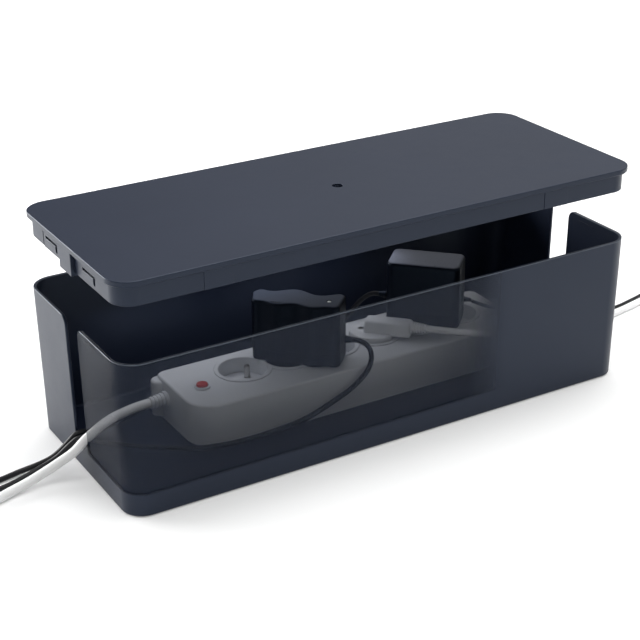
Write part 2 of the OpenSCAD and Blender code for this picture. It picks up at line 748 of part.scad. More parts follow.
// ---------- adapters ----------

// Waisted outline of the curved adapter, shrunk by an inset
module wave_outline(inset) {
    step = 3;
    left = -24;
    right = a1_right - 0.5;
    offset(r = 5 - inset) offset(delta = -5) polygon(concat(
        [for (u = [left:step:right]) [u, -13.5 - 1.8 * cos(360 * (u + 4) / 27)]],
        [[a1_right, -11], [a1_right, 12]],
        [for (u = [right:-step:left]) [u, 12.5 + 3.5 * cos(360 * (u - 4) / 38)]],
        [[-28, 4]]));
}

// Outline of the upright adapter, shrunk by an inset
module block_outline(inset) {
    radius = a2_radius - inset;
    length = a2_right - a2_left - 2 * inset;
    width = block_width - 2 * inset;
    translate([(a2_left + a2_right) / 2, 0]) {
        square([length - 2 * radius, width], center = true);
        square([length, width - 2 * radius], center = true);
        for (x = [-1, 1], y = [-1, 1])
            translate([x * (length / 2 - radius), y * (width / 2 - radius)]) circle(radius);
    }
}

// Closed cap over an outline: the outer block less the inner one
module shell_top(low, high) {
    difference() {
        translate([0, 0, low]) linear_extrude(height = high - low) children(0);
        translate([0, 0, low - eps]) linear_extrude(height = high - case_wall - low + eps) children(1);
    }
}

// Tray with the plug stub that reaches into a socket's well
module shell_base(low, high) {
    difference() {
        union() {
            difference() {
                translate([0, 0, low]) linear_extrude(height = high - low) children(0);
                translate([0, 0, low + case_wall]) linear_extrude(height = high - low) children(1);
            }
            translate([0, 0, well_floor + fit_gap])
                linear_extrude(height = low - well_floor) pill(stub_length, stub_width);
        }
        for (side = [-1, 1]) translate([side * contact_spread / 2, 0, 0])
            cylinder(h = high, d = adapter_pin + fit_gap);
    }
}

// Two round pins from the bars up into a case
module pin_pair(diameter, high) {
    color(steel_colour) for (side = [-1, 1]) translate([side * contact_spread / 2, 0, 0]) {
        translate([0, 0, pin_bottom + 1]) cylinder(h = high - pin_bottom - 1, d = diameter);
        translate([0, 0, pin_bottom]) cylinder(h = 1, d1 = diameter - 1.4, d2 = diameter);
    }
}

module adapter_1_case() {
    color(black_colour) at_socket(a1_socket) difference() {
        shell_top(a1_split, a1_top) { wave_outline(0); wave_outline(case_wall); }
        translate([33.5, -1, a1_top - case_wall - eps]) cylinder(h = case_wall + 2 * eps, d = 3 + fit_gap);
        translate([a1_right - 6, a1_lead_v, a1_lead_z]) rotate([0, 90, 0])
            cylinder(h = 12, d = lead_diameter + 1.5 + fit_gap);
    }
}

module adapter_1_base() {
    color(black_colour) at_socket(a1_socket) difference() {
        shell_base(a1_bottom, a1_split) { wave_outline(0); wave_outline(case_wall); }
        translate([0, earth_offset, 0]) cylinder(h = a1_bottom - 0.6, d = earth_diameter + 1);
    }
}

module adapter_1_pins() { at_socket(a1_socket) pin_pair(adapter_pin, a1_bottom + 8); }

module adapter_1_board() {
    color([0.1, 0.35, 0.2]) at_socket(a1_socket)
        translate([-15, -8, a1_bottom + 8]) cube([50, 14, 1.6]);
}

module adapter_1_transformer() {
    color([0.85, 0.75, 0.3]) at_socket(a1_socket) translate([0, 0, a1_bottom + 9.6]) {
        translate([-12, -7.5, 0]) cube([20, 14, 18]);
        translate([16, 0, 0]) cylinder(h = 20, d = 10);
        translate([28, 0, 0]) cylinder(h = 15, d = 8);
    }
}

module adapter_1_lens() {
    color([0.8, 0.95, 0.85]) at_socket(a1_socket)
        translate([33.5, -1, a1_top - case_wall - 1]) cylinder(h = case_wall + 1, d = 3);
}

module adapter_1_relief() {
    color(black_colour) at_socket(a1_socket) translate([a1_right - 3, a1_lead_v, a1_lead_z]) {
        rotate([0, 90, 0]) cylinder(h = 3, d = lead_diameter + 1.5);
        translate([3, 0, 0]) ribbed_sleeve(5.6, lead_diameter + 2.4, lead_diameter + relief_small + 0.4, 3);
    }
}

module adapter_2_case() {
    color(black_colour) at_socket(a2_socket) difference() {
        shell_top(a2_split, a2_top) { block_outline(0); block_outline(case_wall); }
        translate([a2_left - 4, 0, a2_lead_z]) rotate([0, 90, 0])
            cylinder(h = 8, d = lead_diameter + 1.5 + fit_gap);
        translate([a2_right - 4, a2_thin_v, a2_thin_z]) rotate([0, 90, 0])
            cylinder(h = 8, d = thin_diameter + 1.5 + fit_gap);
    }
}

module adapter_2_base() {
    color(black_colour) at_socket(a2_socket)
        shell_base(a2_bottom, a2_split) { block_outline(0); block_outline(case_wall); }
}

module adapter_2_pins() { at_socket(a2_socket) pin_pair(adapter_pin, a2_bottom + 8); }

module adapter_2_board() {
    color([0.1, 0.35, 0.2]) at_socket(a2_socket)
        translate([-11, -12, a2_bottom + 8]) cube([46, 24, 1.6]);
}

module adapter_2_transformer() {
    color([0.85, 0.75, 0.3]) at_socket(a2_socket) translate([0, 0, a2_bottom + 9.6]) {
        translate([-3, -9, 0]) cube([20, 18, 20]);
        translate([25, -6, 0]) cylinder(h = 20, d = 10);
        translate([25, 6, 0]) cylinder(h = 14, d = 8);
    }
}

module adapter_2_relief_left() {
    color(black_colour) at_socket(a2_socket) translate([a2_left + 3, 0, a2_lead_z]) mirror([1, 0, 0]) {
        rotate([0, 90, 0]) cylinder(h = 3, d = lead_diameter + 1.5);
        translate([3, 0, 0]) ribbed_sleeve(8.4, lead_diameter + 2.4, lead_diameter + relief_small, 4);
    }
}

module adapter_2_relief_right() {
    color(black_colour) at_socket(a2_socket) translate([a2_right - 3, a2_thin_v, a2_thin_z]) {
        rotate([0, 90, 0]) cylinder(h = 3, d = thin_diameter + 1.5);
        translate([3, 0, 0]) ribbed_sleeve(6, thin_diameter + 2, thin_diameter + relief_small, 3);
    }
}

// ---------- flat plug ----------

module flat_plug_body() {
    color(white_colour) at_socket(plug_socket) difference() {
        union() {
            translate([0, 0, well_floor + fit_gap])
                cylinder(h = plug_disc_top - well_floor - fit_gap, d = plug_disc);
            hull() {
                translate([plug_left - 1, -plug_foot / 2, plug_disc_top - eps])
                    cube([plug_right - plug_left + 1, plug_foot, eps]);
                translate([plug_left, -plug_ridge / 2, plug_top - eps])
                    cube([plug_right - plug_left, plug_ridge, eps]);
            }
        }
        for (side = [-1, 1]) translate([side * contact_spread / 2, 0, 0])
            cylinder(h = plug_disc_top, d = plug_pin + fit_gap);
        translate([0, earth_offset, 0]) cylinder(h = strip_top, d = earth_diameter + 0.8);
    }
}

module flat_plug_pins() { at_socket(plug_socket) pin_pair(plug_pin, plug_disc_top); }

module flat_plug_relief() {
    color(white_colour) at_socket(plug_socket) translate([plug_right, 0, plug_lead_z])
        ribbed_sleeve(plug_relief_end - plug_right, appliance_diameter + 3.6, appliance_diameter + 1.6, 6);
}

// ---------- cords ----------

module mains_cord() { color(white_colour) tube(smooth_path(mains_route, 2), mains_diameter, 10); }
module mains_coil() { color(white_colour) coil(mains_coil_place, mains_coil_ring); }

// Moves its children to the start of a far end's piece and turns them with it
module at_end(place, turn, height) {
    translate([place[0], place[1], height]) rotate(turn) children();
}

module mains_plug() {
    grip = 16;
    color(white_colour) at_end(mains_plug_place, mains_plug_turn, mains_plug_radius) {
        ribbed_sleeve(18, mains_diameter + 2, mains_diameter + 5, 6);
        rotate([0, 90, 0]) {
            translate([0, 0, 18]) cylinder(h = grip, d1 = 22, d2 = 30);
            difference() {
                translate([0, 0, 18 + grip]) cylinder(h = 17, r = mains_plug_radius);
                translate([-earth_offset, 0, 18 + grip + 2]) cylinder(h = 20, d = earth_diameter + 0.8);
                for (side = [-1, 1]) translate([0, side * contact_spread / 2, 18 + grip])
                    cylinder(h = 20, d = plug_pin);
            }
        }
    }
}

module mains_plug_pins() {
    face = 51;
    color(steel_colour) at_end(mains_plug_place, mains_plug_turn, mains_plug_radius)
        for (side = [-1, 1]) translate([face - 17, side * contact_spread / 2, 0]) rotate([0, 90, 0]) {
            cylinder(h = 35, d = plug_pin);
            translate([0, 0, 35]) cylinder(h = 1, d1 = plug_pin, d2 = plug_pin - 1.4);
        }
}

module lead_1_cord() { color(black_colour) tube(smooth_path(lead_1_route, 2), lead_diameter); }
module lead_1_coil() { color(black_colour) coil(lead_1_coil_place, lead_1_coil_ring); }

// Barrel connector: grip, neck and metal barrel
module lead_1_connector() {
    color(black_colour) at_end(lead_1_end, lead_1_end_turn, 5) {
        ribbed_sleeve(8, lead_diameter + 1, lead_diameter + 3, 4);
        rotate([0, 90, 0]) {
            translate([0, 0, 8]) cylinder(h = 14, d = 10);
            translate([0, 0, 22]) cylinder(h = 9.5, d = 5.5);
        }
    }
}

module lead_2_cord() { color(black_colour) tube(smooth_path(lead_2_route, 2), lead_diameter); }
module lead_2_coil() { color(black_colour) coil(lead_2_coil_place, lead_2_coil_ring); }

// Flat connector with a thin metal tongue
module flat_connector(length, width, height, tip) {
    translate([length / 2, 0, 0]) cube([length, width, height], center = true);
    translate([length, 0, 0]) cube([2 * tip, width * 0.7, height * 0.45], center = true);
}

module lead_2_connector() {
    color(black_colour) at_end(lead_2_end, lead_2_end_turn, 4) {
        ribbed_sleeve(6, lead_diameter + 1, lead_diameter + 2, 3);
        translate([6, 0, 0]) flat_connector(18, 11, 6.5, 6.5);
    }
}

module appliance_cord() { color(white_colour) tube(smooth_path(appliance_route, 2), appliance_diameter); }
module appliance_coil() { color(white_colour) coil(appliance_coil_place, appliance_coil_ring); }

// Two-way appliance connector, a pill in section
module appliance_connector() {
    color(white_colour) at_end(appliance_end, appliance_end_turn, 5) {
        ribbed_sleeve(12, appliance_diameter + 1, appliance_diameter + 3, 4);
        translate([12, 0, 0]) difference() {
            rotate([90, 0, 90]) linear_extrude(height = 22) pill(15.5, 9);
            for (side = [-1, 1]) translate([14, side * 4, 0]) rotate([0, 90, 0]) cylinder(h = 10, d = 3);
        }
    }
}

module thin_cord() { color(black_colour) tube(smooth_path(thin_route, 2), thin_diameter); }
module thin_coil() { color(black_colour) coil(thin_coil_place, thin_coil_ring); }

module thin_connector() {
    color(black_colour) at_end(thin_end, thin_end_turn, 3.6) {
        ribbed_sleeve(5, thin_diameter + 1, thin_diameter + 2, 3);
        translate([5, 0, 0]) flat_connector(14, 9, 5.5, 5);
    }
}

box_body();
lid();
rubber_feet();
strip_cover();
strip_base();
strip_screws();
reset_button();
button_collar();
button_spring();
breaker();
cord_gland();
mains_tail();
cord_clamp();
clamp_screws();
inner_wires();
live_bar();
neutral_bar();
earth_bar();
earth_pins();
socket_insert(0);  // socket_insert_1
socket_insert(1);  // socket_insert_2
socket_insert(2);  // socket_insert_3
socket_insert(3);  // socket_insert_4
socket_insert(4);  // socket_insert_5
socket_insert(5);  // socket_insert_6
adapter_1_case();
adapter_1_base();
adapter_1_pins();
adapter_1_board();
adapter_1_transformer();
adapter_1_lens();
adapter_1_relief();
adapter_2_case();
adapter_2_base();
adapter_2_pins();
adapter_2_board();
adapter_2_transformer();
adapter_2_relief_left();
adapter_2_relief_right();
flat_plug_body();
flat_plug_pins();
flat_plug_relief();
mains_cord();
mains_coil();
mains_plug();
mains_plug_pins();
lead_1_cord();
lead_1_coil();
lead_1_connector();
lead_2_cord();
lead_2_coil();
lead_2_connector();
appliance_cord();
appliance_coil();
appliance_connector();
thin_cord();
thin_coil();
thin_connector();
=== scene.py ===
import bmesh
import bpy
from math import ceil, cos, dist, radians, sin
from mathutils import Matrix, Vector


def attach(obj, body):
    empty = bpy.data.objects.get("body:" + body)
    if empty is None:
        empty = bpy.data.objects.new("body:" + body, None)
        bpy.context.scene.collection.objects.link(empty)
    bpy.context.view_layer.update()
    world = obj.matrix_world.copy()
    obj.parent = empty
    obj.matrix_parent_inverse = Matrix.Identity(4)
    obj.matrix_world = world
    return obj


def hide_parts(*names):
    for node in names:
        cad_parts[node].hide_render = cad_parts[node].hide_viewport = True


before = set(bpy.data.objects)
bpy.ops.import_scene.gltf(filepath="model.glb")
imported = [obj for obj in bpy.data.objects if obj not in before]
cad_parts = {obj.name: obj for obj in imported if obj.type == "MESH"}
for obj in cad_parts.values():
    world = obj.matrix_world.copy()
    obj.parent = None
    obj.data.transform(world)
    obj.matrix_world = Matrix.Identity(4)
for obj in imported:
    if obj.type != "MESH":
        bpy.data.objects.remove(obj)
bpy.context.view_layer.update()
mm = 0.001                   # shapes below are drawn in millimetres, in the CAD frame
weld = 0.003 * mm            # points nearer than this are one
sharpFrom = radians(32)      # edges that turn more stay sharp


# ---- tools for building meshes ----

def smoothStep(t):
    t = min(max(t, 0), 1)
    return t * t * (3 - 2 * t)


def between(low, high, steps):
    return [low + (high - low) * i / steps for i in range(steps + 1)]


def angles(low, high, steps):
    return [radians(a) for a in between(low, high, steps)]


def arcPoints(centre, radius, start, end, steps):
    return [(centre[0] + radius * cos(a), centre[1] + radius * sin(a)) for a in angles(start, end, steps)]


def circle(radius, steps=48):
    return arcPoints((0, 0), radius, 0, 360 - 360 / steps, steps - 1)


def shifted(x=0, y=0, z=0, turn=0, axis="Z"):
    return Matrix.Translation((x, y, z)) @ Matrix.Rotation(radians(turn), 4, axis)


def scaled(place):
    # a placing in millimetres as one in metres
    return Matrix.Translation(place.translation * mm) @ place.to_3x3().to_4x4()


alongX = shifted(turn=90, axis="Y")   # turns something built up Z to run along +X


def insetLoop(loop, distance):
    # moves each point of a counter-clockwise outline inwards along the mean of its edges' normals
    moved = []
    for i, point in enumerate(loop):
        before, after = loop[i - 1], loop[(i + 1) % len(loop)]
        a = Vector((point[1] - before[1], before[0] - point[0])).normalized()
        b = Vector((after[1] - point[1], point[0] - after[0])).normalized()
        out = (a + b) / max(1 + a.dot(b), 0.3)
        moved.append((point[0] - out.x * distance, point[1] - out.y * distance))
    return moved


def roundedRectangle(lowX, lowY, highX, highY, radius, steps=6):
    corners = [(highX - radius, highY - radius, 0), (lowX + radius, highY - radius, 90),
               (lowX + radius, lowY + radius, 180), (highX - radius, lowY + radius, 270)]
    return [p for x, y, a in corners for p in arcPoints((x, y), radius, a, a + 90, steps)]


def pill(length, width, steps=12):
    # a bar with round ends, along X
    half, reach = width / 2, length / 2 - width / 2
    return arcPoints((reach, 0), half, -90, 90, steps) + arcPoints((-reach, 0), half, 90, 270, steps)


class Mould:
    # gathers closed shapes in millimetres and casts them as one piece
    def __init__(self):
        self.points, self.faces = [], []

    def add(self, points, faces, place=None):
        start = len(self.points)
        self.points += [place @ Vector(p) for p in points] if place else [Vector(p) for p in points]
        self.faces += [[start + i for i in face] for face in faces]

    def loft(self, rings, place=None, caps=True, looped=False):
        count, last = len(rings[0]), len(rings)
        faces = [[k * count + i, k * count + (i + 1) % count,
                  (k + 1) % last * count + (i + 1) % count, (k + 1) % last * count + i]
                 for k in range(last if looped else last - 1) for i in range(count)]
        if caps and not looped:
            faces += [list(range(count))[::-1], [(last - 1) * count + i for i in range(count)]]
        self.add([p for ring in rings for p in ring], faces, place)

    def stack(self, loop, profile, place=None, looped=False):
        # the outline at each (inset, height) of a profile
        rings = []
        for inset, z in profile:
            rings.append([(x, y, z) for x, y in (insetLoop(loop, inset) if inset else loop)])
        self.loft(rings, place, looped=looped)

    def lathe(self, profile, place=None, steps=48, looped=False):
        # (radius, height) points turned round the Z axis
        rings = [[(r * x, r * y, z) for x, y in circle(1, steps)] for r, z in profile]
        self.loft(rings, place, caps=profile[0][0] > 0, looped=looped)

    def block(self, low, high, edge=0, place=None, steps=2):
        shape = bmesh.new()
        size = [h - l for l, h in zip(low, high)]
        middle = [(l + h) / 2 for l, h in zip(low, high)]
        cube = Matrix.Translation(middle) @ Matrix.Diagonal((*size, 1))
        bmesh.ops.create_cube(shape, size=1, matrix=cube)
        if edge:
            bmesh.ops.bevel(shape, geom=shape.edges[:], offset=edge, segments=steps, profile=0.5,
                            affect="EDGES")
        faces = [[v.index for v in f.verts] for f in shape.faces]
        self.add([tuple(v.co) for v in shape.verts], faces, place)
        shape.free()

    def cast(self, name, finish=None, slot="", replaced=(), body="root"):
        mesh = bpy.data.meshes.new(name)
        mesh.from_pydata([p * mm for p in self.points], [], self.faces)
        shape = bmesh.new()
        shape.from_mesh(mesh)
        bmesh.ops.remove_doubles(shape, verts=shape.verts, dist=weld)
        bmesh.ops.recalc_face_normals(shape, faces=shape.faces)
        shape.to_mesh(mesh)
        shape.free()
        piece = bpy.data.objects.new(name, mesh)
        bpy.context.scene.collection.objects.link(piece)
        return settle(piece, finish, replaced, body) if finish else piece


def settle(piece, finish, replaced, body="root", shadeLining=None):
    # gives a piece its material and any second one, smooth faces and body
    piece.data.materials.clear()
    # a second, near-black material, if given, is painted shade for faces cut into the piece
    for layer in (finish, shadeLining):
        if layer:
            piece.data.materials.append(layer.material)
    if piece.type == "MESH":
        piece.data.shade_smooth()
        piece.data.set_sharp_from_angle(angle=sharpFrom)
        piece.modifiers.new("normals", "WEIGHTED_NORMAL").keep_sharp = True
    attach(piece, body)
    if replaced:
        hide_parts(*replaced)
    return piece


def turned(name, profile, place, steps, finish, slot, node, looped=False, body="root"):
    # a piece made of one profile of (radius, height) points turned round an axis
    mould = Mould()
    mould.lathe(profile, place, steps, looped)
    return mould.cast(name, finish, slot, [node], body)


def carve(piece, tool, operation="DIFFERENCE"):
    # cuts the tool from the piece, or joins it to the piece, and removes it
    cut = piece.modifiers.new("cut", "BOOLEAN")
    cut.object, cut.operation, cut.solver, cut.use_self = tool, operation, "EXACT", True
    bpy.context.view_layer.update()
    shape = bpy.data.meshes.new_from_object(piece.evaluated_get(bpy.context.evaluated_depsgraph_get()))
    piece.modifiers.clear()
    piece.data = shape
    bpy.data.objects.remove(tool)
    return piece


def roundOver(radius, inset, z, steps=4, rising=True):
    # a quarter circle in (inset, height) that ends a wall at its outer edge
    turns = angles(0, 90, steps)
    if rising:
        return [(inset + radius * (1 - cos(a)), z - radius * (1 - sin(a))) for a in turns]
    return [(inset + radius * (1 - sin(a)), z + radius * (1 - cos(a))) for a in turns]


# ---- tools for materials ----

class Wire:
    # one socket of a material, on which sums can be written
    def __init__(self, finish, socket):
        self.finish, self.socket = finish, socket

    def maths(self, operation, *values):
        return self.finish.node("ShaderNodeMath", {"operation": operation}, dict(enumerate(values)))

    def __add__(self, other): return self.maths("ADD", self, other)
    def __radd__(self, other): return self.maths("ADD", other, self)
    def __rsub__(self, other): return self.maths("SUBTRACT", other, self)
    def __mul__(self, other): return self.maths("MULTIPLY", self, other)
    def __rmul__(self, other): return self.maths("MULTIPLY", other, self)
    def __gt__(self, other): return self.maths("GREATER_THAN", self, other)
    def __lt__(self, other): return self.maths("LESS_THAN", self, other)


class Finish:
    # a material, or the world, built round its one shader
    def __init__(self, name, fixed=None, world=None):
        self.material = world or bpy.data.materials.new(name)
        self.material.use_nodes = True
        self.tree = self.material.node_tree
        self.shader = self.tree.nodes["Background" if world else "Principled BSDF"]
        for socket, value in (fixed or {}).items():
            self.shader.inputs[socket].default_value = value

    def feed(self, socket, value):
        if isinstance(value, Wire):
            self.tree.links.new(value.socket, socket)
        else:
            socket.default_value = value

    def node(self, kind, settings=None, sockets=None, output=0):
        made = self.tree.nodes.new(kind)
        for key, value in (settings or {}).items():
            setattr(made, key, value)
        for key, value in (sockets or {}).items():
            self.feed(made.inputs[key], value)
        return Wire(self, made.outputs[output])

    def drive(self, socket, value):
        self.feed(self.shader.inputs[socket], value)

    def place(self):
        return self.node("ShaderNodeTexCoord", output="Object")

    def split(self, vector):
        parts = self.node("ShaderNodeSeparateXYZ", None, {0: vector}).socket.node.outputs
        return [Wire(self, part) for part in parts]

    def facingUp(self):
        # 1 on a face that looks straight up, 0 on an upright one
        return self.split(self.node("ShaderNodeNewGeometry", output="Normal"))[2]

    def cloud(self, scale, detail=3, rough=0.5, stretch=None):
        at = self.place()
        if stretch:
            at = self.node("ShaderNodeVectorMath", {"operation": "MULTIPLY"}, {0: at, 1: stretch})
        return self.node("ShaderNodeTexNoise", None,
                         {"Vector": at, "Scale": scale, "Detail": detail, "Roughness": rough}, "Fac")

    def rise(self, value, low, high):
        # 0 below low, 1 above high and smooth between
        return self.node("ShaderNodeMapRange", {"interpolation_type": "SMOOTHSTEP"},
                         {"Value": value, "From Min": low, "From Max": high})

    def tint(self, share, first, second):
        return self.node("ShaderNodeMix", {"data_type": "RGBA"}, {0: share, 6: first, 7: second}, 2)

    def bump(self, height, depth):
        self.drive("Normal", self.node("ShaderNodeBump", None, {"Height": height, "Distance": depth}))


def rgb(red, green, blue):
    return (red, green, blue, 1)


def toned(tone, factor, lift=0.0):
    return rgb(*[min(1, c * factor + lift) for c in tone])


def mouldedPlastic(name, tone, roughness=0.38, grain=0.00002, coarse=1500, specular=0.5, coat=0.0,
                   gloss=(1, 1, 1), topDustAndLight=None):
    # injection moulded plastic: fine spark-eroded grain, faint flow marks, handling smudges, and on upward
    # faces settled dust mixed with painted light from above
    finish = Finish(name, {"IOR": 1.5, "Specular IOR Level": specular, "Coat Weight": coat,
                           "Coat Roughness": 0.12, "Specular Tint": rgb(*gloss)})
    flow = finish.cloud(9, 4, 0.55)
    smudge = finish.cloud(38, 6, 0.62)
    speck = finish.rise(finish.cloud(420, 2, 0.5), 0.66, 0.74)
    shade = finish.tint(flow, toned(tone, 0.86), toned(tone, 1.12, 0.002))
    if topDustAndLight:
        # upward faces turn paler: settled dust together with painted light from above
        upwardDustAndLight = finish.rise(finish.facingUp(), 0.7, 0.98) * (0.8 + 0.3 * smudge)
        shade = finish.tint(upwardDustAndLight, shade, rgb(*topDustAndLight))
    finish.drive("Base Color", finish.tint(speck * 0.35, shade, toned(tone, 1.3, 0.006)))
    finish.drive("Roughness", roughness - 0.05 + 0.1 * smudge + 0.05 * speck)
    finish.bump(finish.cloud(coarse, 2, 0.6) + 0.4 * finish.cloud(coarse * 0.31, 2, 0.5), grain)
    return finish


def cordJacket(name, tone, roughness, specular=0.5):
    # soft extruded jacket: waxy smudges and a little dust
    finish = Finish(name, {"IOR": 1.49, "Specular IOR Level": specular})
    wax = finish.cloud(55, 5, 0.6)
    dust = finish.rise(finish.cloud(900, 3, 0.6), 0.64, 0.8)
    shade = finish.tint(wax, toned(tone, 0.9), toned(tone, 1.08, 0.001))
    finish.drive("Base Color", finish.tint(dust * 0.05, shade, rgb(0.3, 0.3, 0.31)))
    finish.drive("Roughness", roughness - 0.06 + 0.14 * wax)
    finish.bump(finish.cloud(600, 4, 0.6), 0.00004)
    return finish


def platedMetal(name, tone, roughness):
    # metal drawn in one direction, with patches of tarnish
    finish = Finish(name, {"Metallic": 1.0, "IOR": 1.6})
    lines = finish.cloud(700, 4, 0.6, (1, 1, 14))
    tarnish = finish.cloud(60, 5, 0.6)
    finish.drive("Base Color", finish.tint(tarnish, toned(tone, 0.72), rgb(*tone)))
    finish.drive("Roughness", roughness + 0.16 * lines + 0.08 * tarnish)
    finish.bump(lines, 0.00002)
    return finish


cordWhite = cordJacket("cordWhite", (0.93, 0.93, 0.935), 0.42)
cordBlack = cordJacket("cordBlack", (0.006, 0.0065, 0.009), 0.42, 0.32)

# ---- camera ----

view = {
    "place": (-0.5453, -0.8957, 0.55776),
    "turn": (64.886, 0.36, -30.761),   # degrees about X, Y and Z
    "lens": 85.11,
    "sensor": 36,
}
camera = bpy.data.objects.new("camera", bpy.data.cameras.new("camera"))
bpy.context.scene.collection.objects.link(camera)
camera.location = view["place"]
camera.rotation_euler = [radians(a) for a in view["turn"]]
camera.data.lens = view["lens"]
camera.data.sensor_width = view["sensor"]
camera.data.clip_start, camera.data.clip_end = 0.01, 50
bpy.context.scene.camera = camera

# ---- cords ----

# Each slot of a winding is (columns out from the middle radius, layer), in the order in which it is wound.
twoColumns = [(0.5, 0), (-0.5, 0), (-0.5, 1), (0.5, 1), (-0.5, 2)]
threeColumns = [(1, 0), (0, 0), (-1, 0), (-1, 1), (0, 1), (1, 1), (1, 2), (0, 2), (-1, 2)]
windings = {
    "mains": {
        "diameter": 7, "length": 1.5, "centre": (-348.5, -42.5), "radius": 38, "pitch": 7.1, "sense": 1,
        "start": 72, "turns": 5.133, "slots": twoColumns + [(0.5, 2)], "leaveAt": 17.5,
        "end": (-386.5, -14.5, 18.5), "heading": 210,
        "route": [(-150.1, 22, 26), (-155, 22, 26), (-163, 20.8, 26.2), (-173, 17.2, 27), (-185, 11, 28.5),
                  (-197, 3, 29.5), (-206, -3, 29), (-214, -6, 26.5), (-222, -6, 20), (-232, -4, 14),
                  (-244, -3.5, 9), (-256, -4.5, 5.5), (-269, -7, 3.8), (-282, -11.5, 3.6), (-295, -13, 3.6),
                  (-308, -11, 3.6), (-318, -7.5, 3.6)],
    },
    "lead1": {
        "diameter": 4, "length": 1.2, "centre": (-345, 39.5), "radius": 23.5, "pitch": 4.2, "sense": -1,
        "start": 260, "turns": 5.23, "slots": twoColumns + [(1.5, 0)], "leaveAt": 5,
        "end": (-374.8, 41, 5), "heading": 90,
        "route": [(3.6, -16, 55), (6.8, -19.2, 55), (10, -23, 53.4), (11.8, -27.4, 50), (10.8, -31.4, 44.8),
                  (7, -34.6, 39.2), (1, -36, 33.8), (-9, -36, 26.5), (-19, -36, 22), (-32, -36, 17),
                  (-46, -36, 12.5), (-60, -36, 10), (-80, -36, 8.6), (-100, -36, 8.4), (-120, -35, 9),
                  (-136, -31, 9.5), (-150, -25, 11), (-166, -17, 12.5), (-181, -10, 14.5), (-195, -5, 18.5),
                  (-206, -2, 23), (-214, 2, 25), (-221, 4, 20.5), (-231, 5.5, 12.5), (-243, 8.5, 6),
                  (-258, 6.5, 2.8), (-275, 2.5, 2.1), (-292, 3, 2.1), (-308, 6, 2.1), (-324, 11, 2.1),
                  (-339, 13.9, 2.1)],
    },
    "lead2": {
        "diameter": 4, "length": 1.2, "centre": (-288, 92), "radius": 22, "pitch": 4.2, "sense": -1,
        "start": 170, "turns": 5.1, "slots": twoColumns + [(1.5, 0)], "leaveAt": 4,
        "end": (-307.5, 112.5, 4), "heading": 45,
        "route": [(58.7, 32.6, 62), (55.6, 35.7, 62), (52, 38.9, 60), (47, 42, 55.4), (42, 44.8, 48.4),
                  (37, 47.5, 41), (31, 50, 33), (23, 52.5, 23), (12, 55, 13), (0, 56, 9), (-14, 56.5, 8.2),
                  (-35, 56.5, 8.2), (-60, 56, 8.2), (-85, 56, 8.2), (-110, 54.5, 8.2), (-133, 51, 8.2),
                  (-152, 45, 8.6), (-170, 35, 11), (-186, 24, 15.5), (-199, 14, 21), (-207.5, 8.4, 25.6),
                  (-215, 7.4, 25.6), (-223, 9.6, 17.5), (-232, 12.5, 9.5), (-243, 15.5, 4.8), (-256, 17, 2.4),
                  (-272, 14, 2.1), (-286, 13, 2.1), (-298, 18, 2.1), (-306, 28, 2.1), (-311, 43, 2.1),
                  (-312, 60, 2.1), (-312, 73, 2.1), (-312, 86, 2.1)],
    },
    "appliance": {
        "diameter": 5.4, "length": 1.5, "centre": (338.7, -44), "radius": 28.3, "pitch": 5.6, "sense": -1,
        "start": 0, "turns": 6.25, "slots": twoColumns + [(0.5, 2), (1.5, 0)], "leaveAt": 5,
        "end": (338, -80.7, 5), "heading": 180,
        "route": [(71.2, -18.7, 48.5), (75, -22.5, 48.5), (81, -28.9, 48.6), (88, -36.5, 48.8),
                  (98, -46.5, 49), (109, -55.5, 48.4), (121, -62, 46), (134, -64, 41.5), (147, -61, 36),
                  (160, -53, 31), (172, -42, 27.5), (183, -29, 25.5), (193, -17, 25), (203, -8.5, 26),
                  (211, -4.5, 27), (218, -3, 25.5), (226, -3, 19.5), (237, -3, 12), (250, -2.5, 6),
                  (265, -1, 3.2), (282, 1.5, 2.8), (300, 5, 2.8), (317, 8.5, 2.8), (334, 9.5, 2.8),
                  (350, 4, 2.8), (362, -8, 2.8), (367.5, -21, 2.8), (369.3, -31, 2.8)],
    },
    "thin": {
        "diameter": 2.8, "length": 1.2, "centre": (385, 15.4), "radius": 15.6, "pitch": 2.9, "sense": -1,
        "start": 94, "turns": 9.26, "slots": threeColumns[:6] + [(-1, 2), (0, 2), (1, 2), (2, 0)],
        "leaveAt": 3.6, "end": (406.4, 15, 3.6), "heading": 270,
        "route": [(117, -13, 59.5), (122, -15.5, 57), (129, -15.5, 53.4), (138, -13, 49), (150, -12, 44.2),
                  (162, -10, 39.5), (174, -6, 34), (186, -1, 29), (198, 3, 26.2), (208, 5, 25),
                  (215, 5.5, 24), (222, 6.5, 19.5), (230, 7.5, 13.5), (240, 9, 7.5), (251, 10.5, 3.4),
                  (265, 11.5, 1.6), (282, 12, 1.5), (300, 14, 1.5), (314, 17, 1.5), (328, 20.5, 1.5),
                  (345, 26, 1.5), (361, 30.6, 1.5), (376, 32, 1.5)],
    },
}
winding = {
    "steps": 18,       # points in a turn
    "change": 0.3,     # share of a turn in which the cord changes its slot
    # when in that change it moves across and when up or down: start and length
    "climb": ((0.4, 0.6), (0, 0.6)), "drop": ((0, 0.65), (0.4, 0.6)), "level": ((0, 1), (0, 1)),
    "leave": 0.2,      # share of a turn in which it leaves the coil
    "gap": 0.1,        # above the table
}


